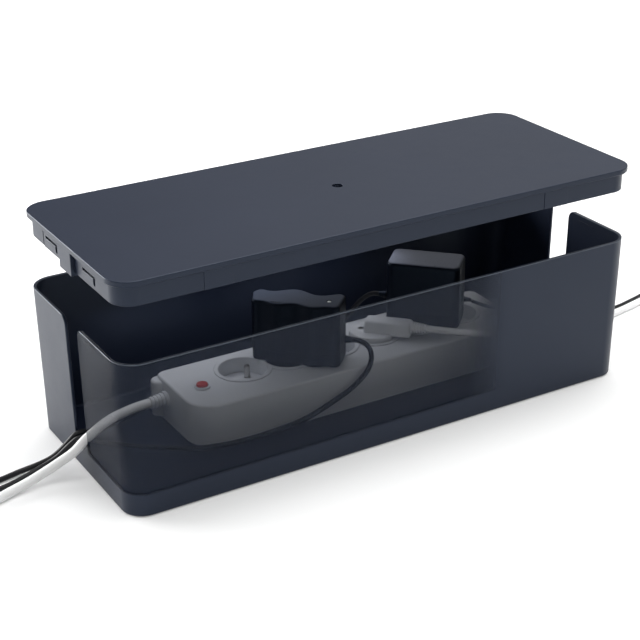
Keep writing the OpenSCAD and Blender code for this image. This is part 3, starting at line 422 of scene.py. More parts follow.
def coilPoints(coil):
    # the turns of a round coil, which step from slot to slot near the end of each turn
    points, change = [], winding["change"]
    count = ceil(coil["turns"] * winding["steps"])
    for i in range(1, count + 1):
        at = coil["turns"] * i / count
        turn = min(int(at), len(coil["slots"]) - 1)
        column, layer = coil["slots"][turn]
        t = (at - turn - 1 + change) / change
        if t > 0 and turn + 1 < len(coil["slots"]):
            nextColumn, nextLayer = coil["slots"][turn + 1]
            move = "climb" if nextLayer > layer else "drop" if nextLayer < layer else "level"
            (acrossFrom, acrossFor), (upFrom, upFor) = winding[move]
            column += (nextColumn - column) * smoothStep((t - acrossFrom) / acrossFor)
            layer += (nextLayer - layer) * smoothStep((t - upFrom) / upFor)
        height = coil["diameter"] / 2 + winding["gap"] + layer * coil["pitch"]
        leaving = smoothStep(1 - (coil["turns"] - at) / winding["leave"])
        height += (coil["leaveAt"] - height) * leaving
        radius = coil["radius"] + column * coil["pitch"]
        angle = radians(coil["start"] + coil["sense"] * 360 * at)
        points.append((coil["centre"][0] + radius * cos(angle),
                       coil["centre"][1] + radius * sin(angle), height))
    return points


def cordCurve(name, points, diameter):
    shape = bpy.data.curves.new(name, "CURVE")
    shape.dimensions = "3D"
    shape.resolution_u, shape.bevel_resolution = 4, 4
    shape.bevel_depth, shape.use_fill_caps = diameter / 2 * mm, True
    line = shape.splines.new("BEZIER")
    line.bezier_points.add(len(points) - 1)
    last = len(points) - 1
    for i, point in enumerate(points):
        here = Vector(point)
        swing = (Vector(points[min(i + 1, last)]) - Vector(points[max(i - 1, 0)])) / 6
        knot = line.bezier_points[i]
        knot.handle_left_type = knot.handle_right_type = "FREE"
        knot.co, knot.handle_left, knot.handle_right = here * mm, (here - swing) * mm, (here + swing) * mm
    cord = bpy.data.objects.new(name, shape)
    bpy.context.scene.collection.objects.link(cord)
    return cord


def layCord(key, node, finish):
    # the route, the coil and the way into the piece on the cord's end
    coil = windings[key]
    heading = radians(coil["heading"])
    inside = coil["diameter"]
    x, y, z = coil["end"]
    points = coil["route"] + coilPoints(coil)
    start = points[-1]
    gap = dist(start[:2], (x, y))
    if gap > 3 * coil["diameter"]:
        points.append(tuple(a + (b - a) * 0.5 for a, b in zip(start, (x, y, z))))
    points.append((x + inside * cos(heading), y + inside * sin(heading), z))
    cord = cordCurve(key + "Cord", points, coil["diameter"])
    return settle(cord, finish, [node + "_cord", node + "_coil"])


mainsCord = layCord("mains", "mains", cordWhite)
lead1Cord = layCord("lead1", "lead_1", cordBlack)
lead2Cord = layCord("lead2", "lead_2", cordBlack)
applianceCord = layCord("appliance", "appliance", cordWhite)
thinCord = layCord("thin", "thin", cordBlack)
print("cords laid")

# ---- box ----

box = {
    "length": 430, "depth": 168, "rim": 117, "wall": 2.2, "draft": 1.7, "corner": 18,
    "edgeGap": 0.8,        # lower edge of the walls above the table
    "underside": 3, "floorTop": 6, "floorFillet": 2,
    "edge": 0.6,           # rounding along rim and slots
    "slotHalf": 10.75, "slotBottom": 22, "slotRadius": 6, "mouthRadius": 7,
    "ribAt": 32.8, "ribWidth": 17.5, "ribReach": 0.3, "ribTop": 112.2, "ribHeight": 1.2, "ribEdge": 0.1,
}
halfLength, halfDepth = box["length"] / 2, box["depth"] / 2
straightX, straightY = halfLength - box["corner"], halfDepth - box["corner"]
bothEnds = [shifted(turn=turn) for turn in (0, 180)]


def lean(z):
    return box["draft"] * (box["rim"] - z) / (box["rim"] - box["edgeGap"])


def slotColumns():
    # (y, top of the lower wall, top of the upper wall or None, direction to the opening in y and z)
    edge, half, shoulder = box["edge"], box["slotHalf"], box["slotBottom"] + box["slotRadius"]
    flare = box["mouthRadius"] - edge
    bend = box["slotRadius"] + edge
    side = [(half + box["mouthRadius"] - flare * cos(a), shoulder,
             box["rim"] - box["mouthRadius"] + flare * sin(a), (-cos(a), sin(a))) for a in angles(90, 0, 7)]
    low = [(half - box["slotRadius"] + bend * sin(a), shoulder - bend * cos(a), None, (-sin(a), cos(a)))
           for a in angles(75, 0, 5)]
    wide = [(y, shoulder, box["rim"] - edge, (0, 1)) for y in (straightY, 46, 30)]
    right = wide + side + low + [(0, box["slotBottom"] - edge, None, (0, 1))]
    left = [(-y, lower, upper, (-dy, dz)) for y, lower, upper, (dy, dz) in right[:-1]]
    return left + right[::-1]


def boxColumns():
    # columns counter-clockwise round the rim: place, normal, lower top, upper top, way to the opening in 3D
    plain = (box["slotBottom"] + box["slotRadius"], box["rim"] - box["edge"], (0, 0, 1))
    columns = []
    for sign in (1, -1):
        for y, lower, upper, (dy, dz) in slotColumns():
            columns.append(((sign * halfLength, sign * y), (sign, 0), lower, upper, (0, sign * dy, dz)))
        columns += cornerColumns(sign, sign, 0, plain)
        columns += [((sign * x, sign * halfDepth), (0, sign), *plain)
                    for x in between(straightX, -straightX, 8)]
        columns += cornerColumns(-sign, sign, 90, plain)
    return columns


def cornerColumns(side, sign, start, plain):
    normals = [(sign * cos(a), sign * sin(a)) for a in angles(start, start + 90, 10)[1:-1]]
    return [((side * straightX + box["corner"] * nx, sign * straightY + box["corner"] * ny), (nx, ny), *plain)
            for nx, ny in normals]


def makeBox(finish):
    mould, columns, edge, wall = Mould(), boxColumns(), box["edge"], box["wall"]
    fillet, floorTop, table = box["floorFillet"], box["floorTop"], box["edgeGap"]
    everyColumn = [list(range(len(columns)))]

    def at(column, inset, z):
        (x, y), (nx, ny) = column[:2]
        move = inset + lean(z)
        return (x - nx * move, y - ny * move, z)

    def strip(rings, looped=True):
        rows, count = len(rings[0]), len(rings)
        faces = [[i * rows + k, (i + 1) % count * rows + k, (i + 1) % count * rows + k + 1, i * rows + k + 1]
                 for i in range(count if looped else count - 1) for k in range(rows - 1)]
        mould.add([p for ring in rings for p in ring], faces)

    for inset, low in ((0, table + edge), (wall, floorTop + fillet)):
        strip([[at(c, inset, z) for z in between(low, c[2], 4)] for c in columns])
        for pair in zip(columns, columns[1:] + columns[:1]):
            if all(c[3] for c in pair):     # both reach the rim
                strip([[at(c, inset, z) for z in between(c[2], c[3], 5)] for c in pair], False)
    foot = roundOver(edge, 0, table, rising=False)[::-1]
    foot += [(wall - 0.3, table), (wall, table + 0.3), (wall, box["underside"])]
    strip([[at(c, inset, z) for inset, z in foot] for c in columns])
    bowl = [(wall + fillet * (1 - cos(a)), floorTop + fillet * (1 - sin(a))) for a in angles(0, 90, 4)]
    strip([[at(c, inset, z) for inset, z in bowl] for c in columns])
    for inset, z in ((wall, box["underside"]), (wall + fillet, floorTop)):
        mould.add([at(c, inset, z) for c in columns], everyColumn)
    strip(edgeBand(columns, at))
    for end in (-1, 1):
        for side in (-1, 1):
            top, outer = box["ribTop"], halfLength - lean(box["ribTop"])
            xs = sorted((end * (outer - wall / 2), end * (outer - wall - box["ribReach"])))
            y = side * box["ribAt"]
            mould.block((xs[0], y - box["ribWidth"] / 2, top - box["ribHeight"]),
                        (xs[1], y + box["ribWidth"] / 2, top), box["ribEdge"])
    return mould.cast("boxBody", finish, "box_plastic", ["box_body"])


def edgeBand(columns, at):
    # the rounded edge that runs along the rim and down round both slots
    edge, wall, path = box["edge"], box["wall"], []
    for i, column in enumerate(columns):
        before, after = columns[i - 1], columns[(i + 1) % len(columns)]
        if not column[3]:
            path.append((column, column[2], column[4]))
            continue
        flank = [(column, z, column[4]) for z in between(column[3], column[2], 5)]
        if not after[3]:
            path += flank
        elif not before[3]:
            path += flank[::-1]
        else:
            path.append(flank[0])
    band = []
    for column, z, way in path:
        outer, inner = Vector(at(column, 0, z)), Vector(at(column, wall, z))
        normal, way = Vector((*column[1], 0)), Vector(way)
        turns = angles(0, 90, 4)
        ring = [outer + edge * ((cos(a) - 1) * normal + sin(a) * way) for a in turns]
        ring += [inner + edge * ((1 - cos(a)) * normal + sin(a) * way) for a in turns[::-1]]
        band.append([tuple(p) for p in ring])
    return band


def seeThroughPlastic():
    # The wall round the front left corner is see-through above a line near its foot, from the slot's
    # front edge to right of the middle, where it turns solid again. The rim's rounded edges stay solid and
    # carry a paler painted highlight.
    zone = {"foot": (0.0168, 0.0192), "slotEdge": -0.0107, "fade": (0.058, 0.103), "ghost": 0.31,
            "rimHighlightFrom": 0.1163, "highlightSlope": 0.8, "highlightTone": (0.13, 0.145, 0.17)}
    finish = boxPlasticLike("boxPlastic")
    x, y, z = finish.split(finish.place())
    clear = (1 - finish.rise(x, *zone["fade"])) * finish.rise(z, *zone["foot"])
    clear = clear * (y < zone["slotEdge"])
    rimHighlightBand = (z > zone["rimHighlightFrom"]) * (finish.facingUp() < zone["highlightSlope"])
    finish.drive("Alpha", 1 - clear * (1 - rimHighlightBand) * (1 - zone["ghost"]))
    plain = Wire(finish, finish.shader.inputs["Base Color"].links[0].from_socket)
    # painted highlight: a paler, slightly patchy line along the rim's rounded edges
    paintedHighlight = rimHighlightBand * (0.35 + 0.65 * finish.cloud(60, 3, 0.6))
    finish.drive("Base Color", finish.tint(paintedHighlight, plain, rgb(*zone["highlightTone"])))
    return finish


def boxPlasticLike(name):
    return mouldedPlastic(name, (0.0105, 0.0148, 0.03), 0.36, specular=0.34, gloss=(0.72, 0.83, 1))


boxPlastic = seeThroughPlastic()
boxBody = makeBox(boxPlastic)
print("box made")

# ---- lid ----

lid = {
    "top": 175.5, "depth": 18.8, "lip": 4.2, "topEdge": 0.7, "lipEdge": 0.45, "inset": 3.5, "wall": 2,
    "step": 0.5, "footEdge": 0.4, "fillet": 1.5,             # of the skirt
    "hole": 4, "holeEdge": 0.45, "collarDrop": 3, "collarWall": 1.5, "collarEdge": 0.3,
    "padInset": 3.1, "padAt": 140, "padWidth": 21.5, "endPadHalf": 46, "padEdge": 0.3, "padLift": 0.05,
    "bury": 0.6,                                              # how far pads and tongues reach into the lip
    "catchAt": 32.8, "catchWidth": 18.3, "catchInset": 2.8, "catchTop": 11, "catchFlat": 3, "catchSlope": 1.9,
    "catchEdge": 0.15, "slotHeight": 1.7, "slotWidth": 2.6, "slotFall": 1, "slotDrop": 5, "slotFloor": 0.4,
    "grooveWidth": 2.2, "tongueHalf": 10.25, "tongueDrop": 1.9, "tongueEdge": 0.5, "tongueInset": 0.02,
}
lidBottom, lipBottom = lid["top"] - lid["depth"], lid["top"] - lid["lip"]
skirtBack = lid["inset"] + lid["wall"]
catchZ, catchTip = lid["top"] - lid["catchTop"], halfLength - lid["catchInset"]


def rimLoop(steps=12, along=8):
    # the box's outline with the middle of both long sides among its points
    loop = []
    for sx, sy, start in ((1, 1, 0), (-1, 1, 90), (-1, -1, 180), (1, -1, 270)):
        loop += arcPoints((sx * straightX, sy * straightY), box["corner"], start, start + 90, steps)
        if start in (0, 180):
            loop += [(x, sy * halfDepth) for x in between(sx * straightX, -sx * straightX, along)[1:-1]]
        else:
            loop += [(sx * halfLength, y) for y in between(sy * straightY, -sy * straightY, 6)[1:-1]]
    return loop


def plateWithHole(mould, loop, hole, z):
    # two halves that meet on x = 0, each an outline with half of the hole cut from it
    quarter, ends = len(hole) // 4, len(loop)
    back, front = [i for i, p in enumerate(loop) if abs(p[0]) < 0.01]
    left, right = loop[back:front + 1], (loop + loop)[front:back + ends + 1]
    holeLeft, holeRight = hole[quarter:3 * quarter + 1], (hole + hole)[3 * quarter:5 * quarter + 1]
    for outer, inner in ((left, holeLeft), (right, holeRight)):
        ring = outer + inner[::-1]
        mould.add([(x, y, z) for x, y in ring], [list(range(len(ring)))])


def makeLid(finish, shadeLining):
    mould, loop = Mould(), rimLoop()
    top, inset, plate, under = lid["top"], lid["inset"], lid["top"] - box["wall"], skirtBack + lid["fillet"]
    lipEdge, step, soft, foot = lid["lipEdge"], lid["step"], lid["holeEdge"], lid["footEdge"]
    profile = roundOver(lid["topEdge"], 0, top)[::-1] + [(0, lipBottom + lipEdge), (lipEdge, lipBottom)]
    profile += [(inset - step, lipBottom), (inset, lipBottom - step)]
    profile += roundOver(foot, inset, lidBottom, 3, rising=False)[::-1]
    profile += [(skirtBack - foot, lidBottom), (skirtBack, lidBottom + foot),
                (skirtBack, plate - lid["fillet"]), (under, plate)]
    mould.loft([[(x, y, z) for x, y in insetLoop(loop, i)] for i, z in profile], caps=False)
    hole, edge = lid["hole"], lid["collarEdge"]
    collar, drop = hole + lid["collarWall"], plate - lid["collarDrop"]
    tube = [(hole + soft * (1 - cos(a)), top - soft * (1 - sin(a))) for a in angles(90, 0, 4)]
    tube += [(hole, drop + edge), (hole + edge, drop), (collar - edge, drop), (collar, drop + edge),
             (collar, plate)]
    mould.loft([[(r * x, r * y, z) for x, y in circle(1)] for r, z in tube], caps=False)
    plateWithHole(mould, insetLoop(loop, lid["topEdge"]), circle(hole + soft), top)
    plateWithHole(mould, insetLoop(loop, under), circle(collar), plate)
    buried = inset + lid["wall"] / 2   # pads start inside the skirt
    for x in (-1, 1):
        for y in (-1, 1):
            ys = sorted((y * (halfDepth - buried), y * (halfDepth - lid["padInset"])))
            xs = [x * lid["padAt"] + half for half in (-lid["padWidth"] / 2, lid["padWidth"] / 2)]
            mould.block((xs[0], ys[0], lidBottom + lid["padLift"]), (xs[1], ys[1], lipBottom + lid["bury"]),
                        lid["padEdge"])
    for place in bothEnds:
        endDetails(mould, buried, place)
    shell, slots = mould.cast("lidShell"), catchSlots()
    for cut in (shell, slots):
        for layer in (finish, shadeLining):
            cut.data.materials.append(layer.material)
    # the faces cut by the slots take the near-black second material: painted shade in the recesses
    slots.data.polygons.foreach_set("material_index", [1] * len(slots.data.polygons))
    return settle(carve(shell, slots), finish, ["lid"], "lid", shadeLining)


def endDetails(mould, buried, place):
    # the pad that fades into the corner, two catches, and the tongue that closes the slot
    face, start = halfLength - lid["padInset"], halfLength - buried
    low, top = lidBottom, lipBottom + lid["bury"]
    edge, lift, bend, nib = lid["padEdge"], lid["padLift"], box["corner"], lid["catchEdge"]
    mould.block((start, -lid["endPadHalf"], low + lift), (face, straightY, top), edge, place)
    blend, sweep = [], angles(0, 45, 8)
    for a in sweep:
        outer = bend - lid["padInset"] - (lid["inset"] - lid["padInset"]) * smoothStep(a / sweep[-1])
        blend.append([(halfLength - bend + r * cos(a), straightY + r * sin(a), z)
                      for r, z in ((bend - buried, low + edge), (outer - edge, low + lift),
                                   (outer, low + lift + edge), (outer, top), (bend - buried, top))])
    mould.loft(blend, place)
    flat, arm, tongue = catchZ - lid["catchFlat"], lid["catchWidth"] / 2, lid["tongueHalf"]
    outline = [(start, catchZ), (catchTip - nib, catchZ), (catchTip, catchZ - nib), (catchTip, flat),
               (face, flat - lid["catchSlope"]), (start, flat - lid["catchSlope"])]
    for y in (-lid["catchAt"], lid["catchAt"]):
        mould.loft([[(x, y + end * arm, z) for x, z in outline] for end in (-1, 1)], place)
    mould.block((halfLength - skirtBack, -tongue, low - lid["tongueDrop"]),
                (halfLength - lid["tongueInset"], tongue, top), lid["tongueEdge"], place, steps=3)


def catchSlots():
    # cut from the end walls: a slot above each catch and down its side, and a groove at the pad's end; their
    # cut faces get painted shade
    mould, high, wide, arm = Mould(), lid["slotHeight"], lid["slotWidth"], lid["catchWidth"] / 2
    inner, outer, end = halfLength - skirtBack + lid["slotFloor"], halfLength - 1, -lid["endPadHalf"]
    section = [(catchTip - 0.1, catchZ), (outer, catchZ), (outer, catchZ + high), (inner, catchZ + high),
               (inner, catchZ - lid["slotFall"])]
    for place in bothEnds:
        for y in (-lid["catchAt"], lid["catchAt"]):
            mould.loft([[(x, y + at, z) for x, z in section] for at in (-arm - 0.1, arm + wide)], place)
            mould.block((inner, y + arm, catchZ - lid["slotDrop"]), (outer, y + arm + wide, catchZ + high),
                        place=place)
        mould.block((inner, end - lid["grooveWidth"], lidBottom - 1), (outer, end, lipBottom - lid["bury"]),
                    place=place)
    return mould.cast("slots")


lidPlastic = boxPlasticLike("lidPlastic")
# near-black and dull: painted shade inside the catch slots and the groove
slotShade = mouldedPlastic("slotShade", (0.0012, 0.0014, 0.002), 0.6, specular=0.08)
lidShell = makeLid(lidPlastic, slotShade)
print("lid made")

# ---- feet ----

feet = {"radius": 9, "height": 3, "insetFromEnds": 32, "edge": 0.7, "rings": 3, "groove": 0.35, "pitch": 2}


def makeFeet(finish):
    # round feet with a few fine grooves in their soles
    mould, (r, h, e, groove) = Mould(), [feet[key] for key in ("radius", "height", "edge", "groove")]
    profile = [(r - 0.2, h)] + [(r - e * (1 - cos(a)), e * (1 - sin(a))) for a in angles(0, 90, 4)]
    for i in range(1, feet["rings"] + 1):
        at = r - i * feet["pitch"]
        profile += [(at + groove, 0), (at, groove), (at - groove, 0)]
    along, across = halfLength - feet["insetFromEnds"], halfDepth - feet["insetFromEnds"]
    for x in (-along, along):
        for y in (-across, across):
            mould.lathe(profile + [(0.4, 0)], shifted(x, y), 40)
    return mould.cast("rubberFeet", finish, "foot_rubber", ["rubber_feet"])


rubber = cordJacket("footRubber", (0.02, 0.02, 0.021), 0.7, 0.3)
rubberFeet = makeFeet(rubber)
print("feet made")

# ---- power strip ----

strip = {
    "low": (-136, -31), "high": (158, 42), "frontCorner": 22, "backCorner": 7, "bottom": 8, "top": 39.2,
    "wall": 2.2, "plate": 2.4, "edge": 1.6, "footEdge": 0.35,
    "lugRadius": 6.5, "lugTop": 36.7, "lugEdge": 2.2,
    "sockets": 6, "firstSocket": -76.4, "pitch": 38.8, "row": 12.5, "turn": -45,
    "well": 18.5, "mouth": 19.5, "mouthDepth": 0.8, "seat": 24.5, "lip": 16.5, "lipDepth": 2, "floor": 3,
    "ring": 22, "ringTop": 40, "ringEdge": 0.45, "groove": (0.5, 0.8), "cup": 19.7,
    "contact": (9.5, 2.7, 0.7), "earth": (10, 2.6, 0.25),     # place, bore and flare of an insert's holes
    "gland": (22, 26), "button": (-116, 2),
    "glandBore": (5.1, -1, 4), "buttonBore": (5.45, 30, 45),  # radius, start and end
}


def atSocket(index):
    return shifted(strip["firstSocket"] + strip["pitch"] * index, strip["row"], 0, strip["turn"])


def stripLoop(steps=8):
    (lowX, lowY), (highX, highY) = strip["low"], strip["high"]
    small, big = strip["backCorner"], strip["frontCorner"]
    corners = [(highX - small, highY - small, small, 0), (lowX + small, highY - small, small, 90),
               (lowX + big, lowY + big, big, 180), (highX - big, lowY + big, big, 270)]
    return [p for x, y, r, a in corners for p in arcPoints((x, y), r, a, a + 90, steps)]


def makeStripCover(finish):
    shell, discs, wells, lug, lugRest = [Mould() for i in range(5)]
    wall, top, bottom, edge = strip["wall"], strip["top"], strip["bottom"], strip["footEdge"]
    profile = [(wall, top - strip["plate"]), (wall, bottom), (edge, bottom), (0, bottom + edge)]
    shell.stack(stripLoop(), profile + roundOver(strip["edge"], 0, top, 5))
    ring, high, well, lip, cup = [strip[key] for key in ("ring", "ringTop", "well", "lip", "cup")]
    soft, low, (near, far) = strip["ringEdge"], strip["seat"] - strip["lipDepth"], strip["groove"]
    for i in range(strip["sockets"]):
        place = atSocket(i)
        discs.lathe([(ring, top - 1), (ring, high - soft), (ring - 0.12, high - 0.15), (ring - soft, high)],
                    place, 96)
        discs.lathe([(cup, low), (cup, top - 0.5)], place, 96)
        wells.lathe([(ring, top + 0.2), (ring, top - soft), (ring + near, top - soft),
                     (ring + far, top + 0.2)], place, 96, looped=True)
        wells.lathe([(lip, low - 1), (lip, strip["seat"]), (well, strip["seat"]),
                     (well, high - strip["mouthDepth"]), (well + 0.15, high - soft),
                     (well + 0.5, high - 0.15), (strip["mouth"], high), (strip["mouth"], high + 1)],
                    place, 96)
    for bore, place in (("buttonBore", shifted(*strip["button"])),
                        ("glandBore", shifted(strip["low"][0], *strip["gland"]) @ alongX)):
        radius, start, end = strip[bore]
        wells.lathe([(radius, start), (radius, end)], place, 48)
    reach = strip["lugRadius"]
    lug.lathe([(reach - 0.3, bottom), (reach, bottom + 0.3)]
              + [(reach - inset, z) for inset, z in roundOver(strip["lugEdge"], 0, strip["lugTop"], 5)],
              shifted(strip["low"][0] + 0.5, strip["high"][1] - reach), 64)
    lugRest.stack(insetLoop(stripLoop(), wall / 2), [(0, 0), (0, top + 5)])
    cover = carve(shell.cast("stripCover"), carve(lug.cast("lug"), lugRest.cast("rest")), "UNION")
    carve(cover, discs.cast("discs"), "UNION")
    carve(cover, wells.cast("wells"))
    return settle(cover, finish, ["strip_cover"])


def makeInsert(finish, index):
    # the floor of a well, with softened edges round its three holes
    floor, holes = Mould(), Mould()
    low, high, radius = strip["seat"], strip["seat"] + strip["floor"], strip["well"] - 0.3
    floor.lathe([(radius, low), (radius, high - 0.3), (radius - 0.3, high)], None, 72)
    (spread, *contact), (reach, *earth) = strip["contact"], strip["earth"]
    for place, (r, e) in (((-spread, 0), contact), ((spread, 0), contact), ((0, reach), earth)):
        holes.lathe([(r, low - 1), (r, high - e), (r + e, high), (r + e, high + 1)], shifted(*place), 36)
    number = str(index + 1)
    plate = carve(floor.cast("well" + number + "Floor"), holes.cast("holes"))
    plate.data.transform(scaled(atSocket(index)))
    return settle(plate, finish, ["socket_insert_" + number])


# (radius, height) of the collar, and of the flanged cap with a shallow dish for the fingertip
button = {
    "collar": [(5.25, 34), (5.25, 39.2), (6, 39.2), (6, 40.4), (5.9, 40.8), (5.55, 41), (5.1, 41),
               (4.7, 40.85), (4.55, 40.5), (4.55, 34)],
    "cap": [(4.6, 31.7), (5, 31.9), (5, 33.5), (4.8, 33.7), (4.25, 33.75), (4.25, 41.7), (4.17, 42.1),
            (3.95, 42.32), (3.65, 42.4), (3.2, 42.33), (2.4, 42.17), (1.5, 42.06), (0.6, 42.02)],
}


def ribs(length, start, finish, count, deep=0.5):
    # (radius, height) up the outside of a strain relief with rounded ribs, from one diameter to another
    pitch, profile = length / count, []
    rib = ((deep, 0), (0.12, 0.04), (0, 0.14), (0, 0.38), (0.12, 0.48), (deep, 0.54), (deep, 0.98))
    for i in range(count):
        radius = (start + (finish - start) * i / (count - 1)) / 2
        profile += [(radius - less, i * pitch + share * pitch) for less, share in rib]
    return profile


# the gland's (radius, distance out of the strip's end) at its flanges, and (inset, distance) along a ring
gland = {
    "bore": 3.6, "tip": 150, "rings": 3.1, "pitch": 2.7, "count": 4, "ring": 5.25, "taper": 0.22,
    "flanges": [(3.6, -4.2), (6.4, -4.2), (6.4, -2.3), (4.95, -2.2), (4.95, 0), (5.9, 0), (6.2, 0.35),
                (6.2, 2.5), (5.85, 3)],
    "step": [(0.55, 0), (0.5, 0.7), (0.08, 0.85), (0, 1.1), (0, 2.2), (0.08, 2.5), (0.5, 2.65)],
}


def makeGland(finish):
    # a flange on each side of the wall, and stepped rings that narrow to the cord
    side = -strip["low"][0]
    ringsFrom, pitch, count, bore, tip = [gland[key] for key in ("rings", "pitch", "count", "bore", "tip")]
    profile = [(r, side + out) for r, out in gland["flanges"]]
    for i in range(count):
        at, radius = side + ringsFrom + i * pitch, gland["ring"] - gland["taper"] * i
        profile += [(radius - less, at + out) for less, out in gland["step"]]
    profile += [(4.3, tip - 0.2), (4.1, tip), (bore + 0.1, tip)]
    place = shifted(0, *strip["gland"], turn=-90, axis="Y")
    return turned("cordGland", profile, place, 48, finish, "strip_plastic", "cord_gland", looped=True)


whitePlastic = mouldedPlastic("whitePlastic", (0.72, 0.73, 0.75), 0.34, 0.000012, 1300, 0.5, 0.06)
redPlastic = mouldedPlastic("redPlastic", (0.52, 0.045, 0.038), 0.3, 0.000008, 1800, 0.5, 0.15)
stripCover = makeStripCover(whitePlastic)
wellFloors = [makeInsert(whitePlastic, i) for i in range(strip["sockets"])]
buttonPlace = shifted(*strip["button"])
buttonCollar = turned("buttonCollar", button["collar"], buttonPlace, 56, whitePlastic, "strip_plastic",
                      "button_collar", looped=True)
resetButton = turned("resetButton", button["cap"], buttonPlace, 56, redPlastic, "button_red",
                     "reset_button", body="button")
cordGland = makeGland(whitePlastic)
print("power strip made")

# ---- adapters ----

adapters = {
    "wall": 2, "seam": 0.28, "stubLength": 34, "stubWidth": 13.4, "stubFoot": 27.8, "stubEdge": 0.7,
    "first": {"socket": 1, "bottom": 40, "split": 50, "top": 90, "edge": 2.2, "foot": 1.4},
    "second": {"socket": 4, "bottom": 45, "split": 55, "top": 96.5, "edge": 2.6, "foot": 1.4},
    "lens": {"place": (33.5, -1), "radius": 1.5, "dome": 0.35, "chamfer": 0.5, "play": 0.1, "depth": 3},
}
# strain reliefs: place at the socket, length, diameters at both ends, ribs and diameter of the root
reliefs = {
    "adapter1Relief": (1, (43.5, 9, 55), 5.6, 6.4, 5.2, 3, 5.5),
    "adapter2ReliefLeft": (4, (-20, 0, 62, 180), 8.4, 6.4, 4.8, 4, 5.5),
    "adapter2ReliefRight": (4, (38.5, 10, 60), 6, 4.8, 3.6, 3, 4.3),
}


def topOutline(name, height):
    # the longest closed run of edges round a CAD case's flat top, in millimetres, counter-clockwise
    node, near, flat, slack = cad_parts[name], 0.002 * mm, 0.99, 0.05 * mm
    shape, after = bmesh.new(), {}
    shape.from_mesh(node.data)
    shape.transform(node.matrix_world)
    bmesh.ops.remove_doubles(shape, verts=shape.verts, dist=near)
    high = [f for f in shape.faces if f.normal.z > flat and abs(f.verts[0].co.z - height * mm) < slack]
    for face in high:
        for loop in face.loops:
            if all(other not in high for other in loop.edge.link_faces if other is not face):
                after[loop.vert] = loop.link_loop_next.vert
    runs = []
    while after:
        start = here = next(iter(after))
        run = []
        while here in after:
            run.append((here.co.x / mm, here.co.y / mm))
            here = after.pop(here)
        runs.append(run)
    shape.free()
    run = max(runs, key=len)
    area = sum(a[0] * b[1] - a[1] * b[0] for a, b in zip(run, run[1:] + run[:1]))
    return run if area > 0 else run[::-1]


def makeCase(name, node, sizes, finish, lens=None):
    # upper half: a cap open below, with a rounded top
    mould, wall, seam, top = Mould(), adapters["wall"], adapters["seam"], sizes["top"]
    profile = [(wall, top - wall), (wall, sizes["split"]), (seam, sizes["split"]),
               (0, sizes["split"] + seam)] + roundOver(sizes["edge"], 0, top, 6)
    mould.stack(topOutline(node, top), profile)
    case = mould.cast(name)
    if lens:
        cut, radius, chamfer = Mould(), lens["radius"] + lens["play"], lens["chamfer"]
        cut.lathe([(radius, top - lens["depth"]), (radius, top - chamfer), (radius + chamfer, top),
                   (radius + chamfer, top + 1)], atSocket(sizes["socket"]) @ shifted(*lens["place"]), 40)
        carve(case, cut.cast("lensHole"))
    return settle(case, finish, [node])


def makeTray(name, node, case, sizes, finish):
    # lower half with the plug stub that reaches into the well
    mould, wall, seam, bottom = Mould(), adapters["wall"], adapters["seam"], sizes["bottom"]
    profile = [(wall, bottom + wall), (wall, sizes["split"]), (seam, sizes["split"]),
               (0, sizes["split"] - seam)] + roundOver(sizes["foot"], 0, bottom, 4, rising=False)[::-1]
    mould.stack(topOutline(case, sizes["top"]), profile)
    low, edge = adapters["stubFoot"], adapters["stubEdge"]
    mould.stack(pill(adapters["stubLength"], adapters["stubWidth"]),
                [(edge, low), (0.2, low + 0.2), (0, low + edge), (0, bottom + 1)], atSocket(sizes["socket"]))
    return mould.cast(name, finish, "adapter_plastic", [node])


def makeRelief(name, node, finish, slot, place, length, start, end, count, root, deep=0.5):
    # ribbed strain relief that runs along +X of its place, on a root that reaches into the piece
    profile = [(root / 2, -3), (root / 2, 0)] + ribs(length, start, end, count, deep)
    return turned(name, profile, place @ alongX, 40, finish, slot, node)


def adapterRelief(name, node):
    socket, place, *sizes = reliefs[name]
    place = atSocket(socket) @ shifted(*place)
    return makeRelief(name, node, adapterPlastic, "adapter_plastic", place, *sizes)


def makeLens(finish):
    # a shallow dome over a status light
    lens, top = adapters["lens"], adapters["first"]["top"]
    radius, dome = lens["radius"], lens["dome"]
    profile = [(radius, top - lens["depth"]), (radius, top - dome)]
    profile += [(radius * cos(a), top - dome * (1 - sin(a))) for a in [radians(d) for d in (20, 45, 65, 80)]]
    place = atSocket(adapters["first"]["socket"]) @ shifted(*lens["place"])
    return turned("adapter1Lens", profile, place, 40, finish, "lens", "adapter_1_lens")


def paleTopBlackPlastic(name, roughness, specular, dust):
    # black plastic, paler on what faces up: a thin film of dust and painted light from above
    return mouldedPlastic(name, (0.0016, 0.0024, 0.0055), roughness, 0.000018, 1400, specular,
                          gloss=(0.5, 0.7, 1), topDustAndLight=dust)


# the last tone is the upward faces' film of dust and painted top light, far paler on the second case
adapterPlastic = paleTopBlackPlastic("adapterPlastic", 0.4, 0.17, (0.045, 0.053, 0.075))
blockPlastic = paleTopBlackPlastic("blockPlastic", 0.34, 0.2, (0.155, 0.165, 0.205))
lensGlass = mouldedPlastic("lensClear", (0.62, 0.66, 0.64), 0.12, 0.000004, 900, 0.6, 0.4)
first, second = adapters["first"], adapters["second"]
adapter1Case = makeCase("adapter1Case", "adapter_1_case", first, adapterPlastic, adapters["lens"])
adapter1Tray = makeTray("adapter1Tray", "adapter_1_base", "adapter_1_case", first, adapterPlastic)
adapter1Lens = makeLens(lensGlass)
adapter2Case = makeCase("adapter2Case", "adapter_2_case", second, blockPlastic)
adapter2Tray = makeTray("adapter2Tray", "adapter_2_base", "adapter_2_case", second, adapterPlastic)
adapter1Relief = adapterRelief("adapter1Relief", "adapter_1_relief")
adapter2ReliefLeft = adapterRelief("adapter2ReliefLeft", "adapter_2_relief_left")
adapter2ReliefRight = adapterRelief("adapter2ReliefRight", "adapter_2_relief_right")
print("adapters made")

# ---- flat plug ----

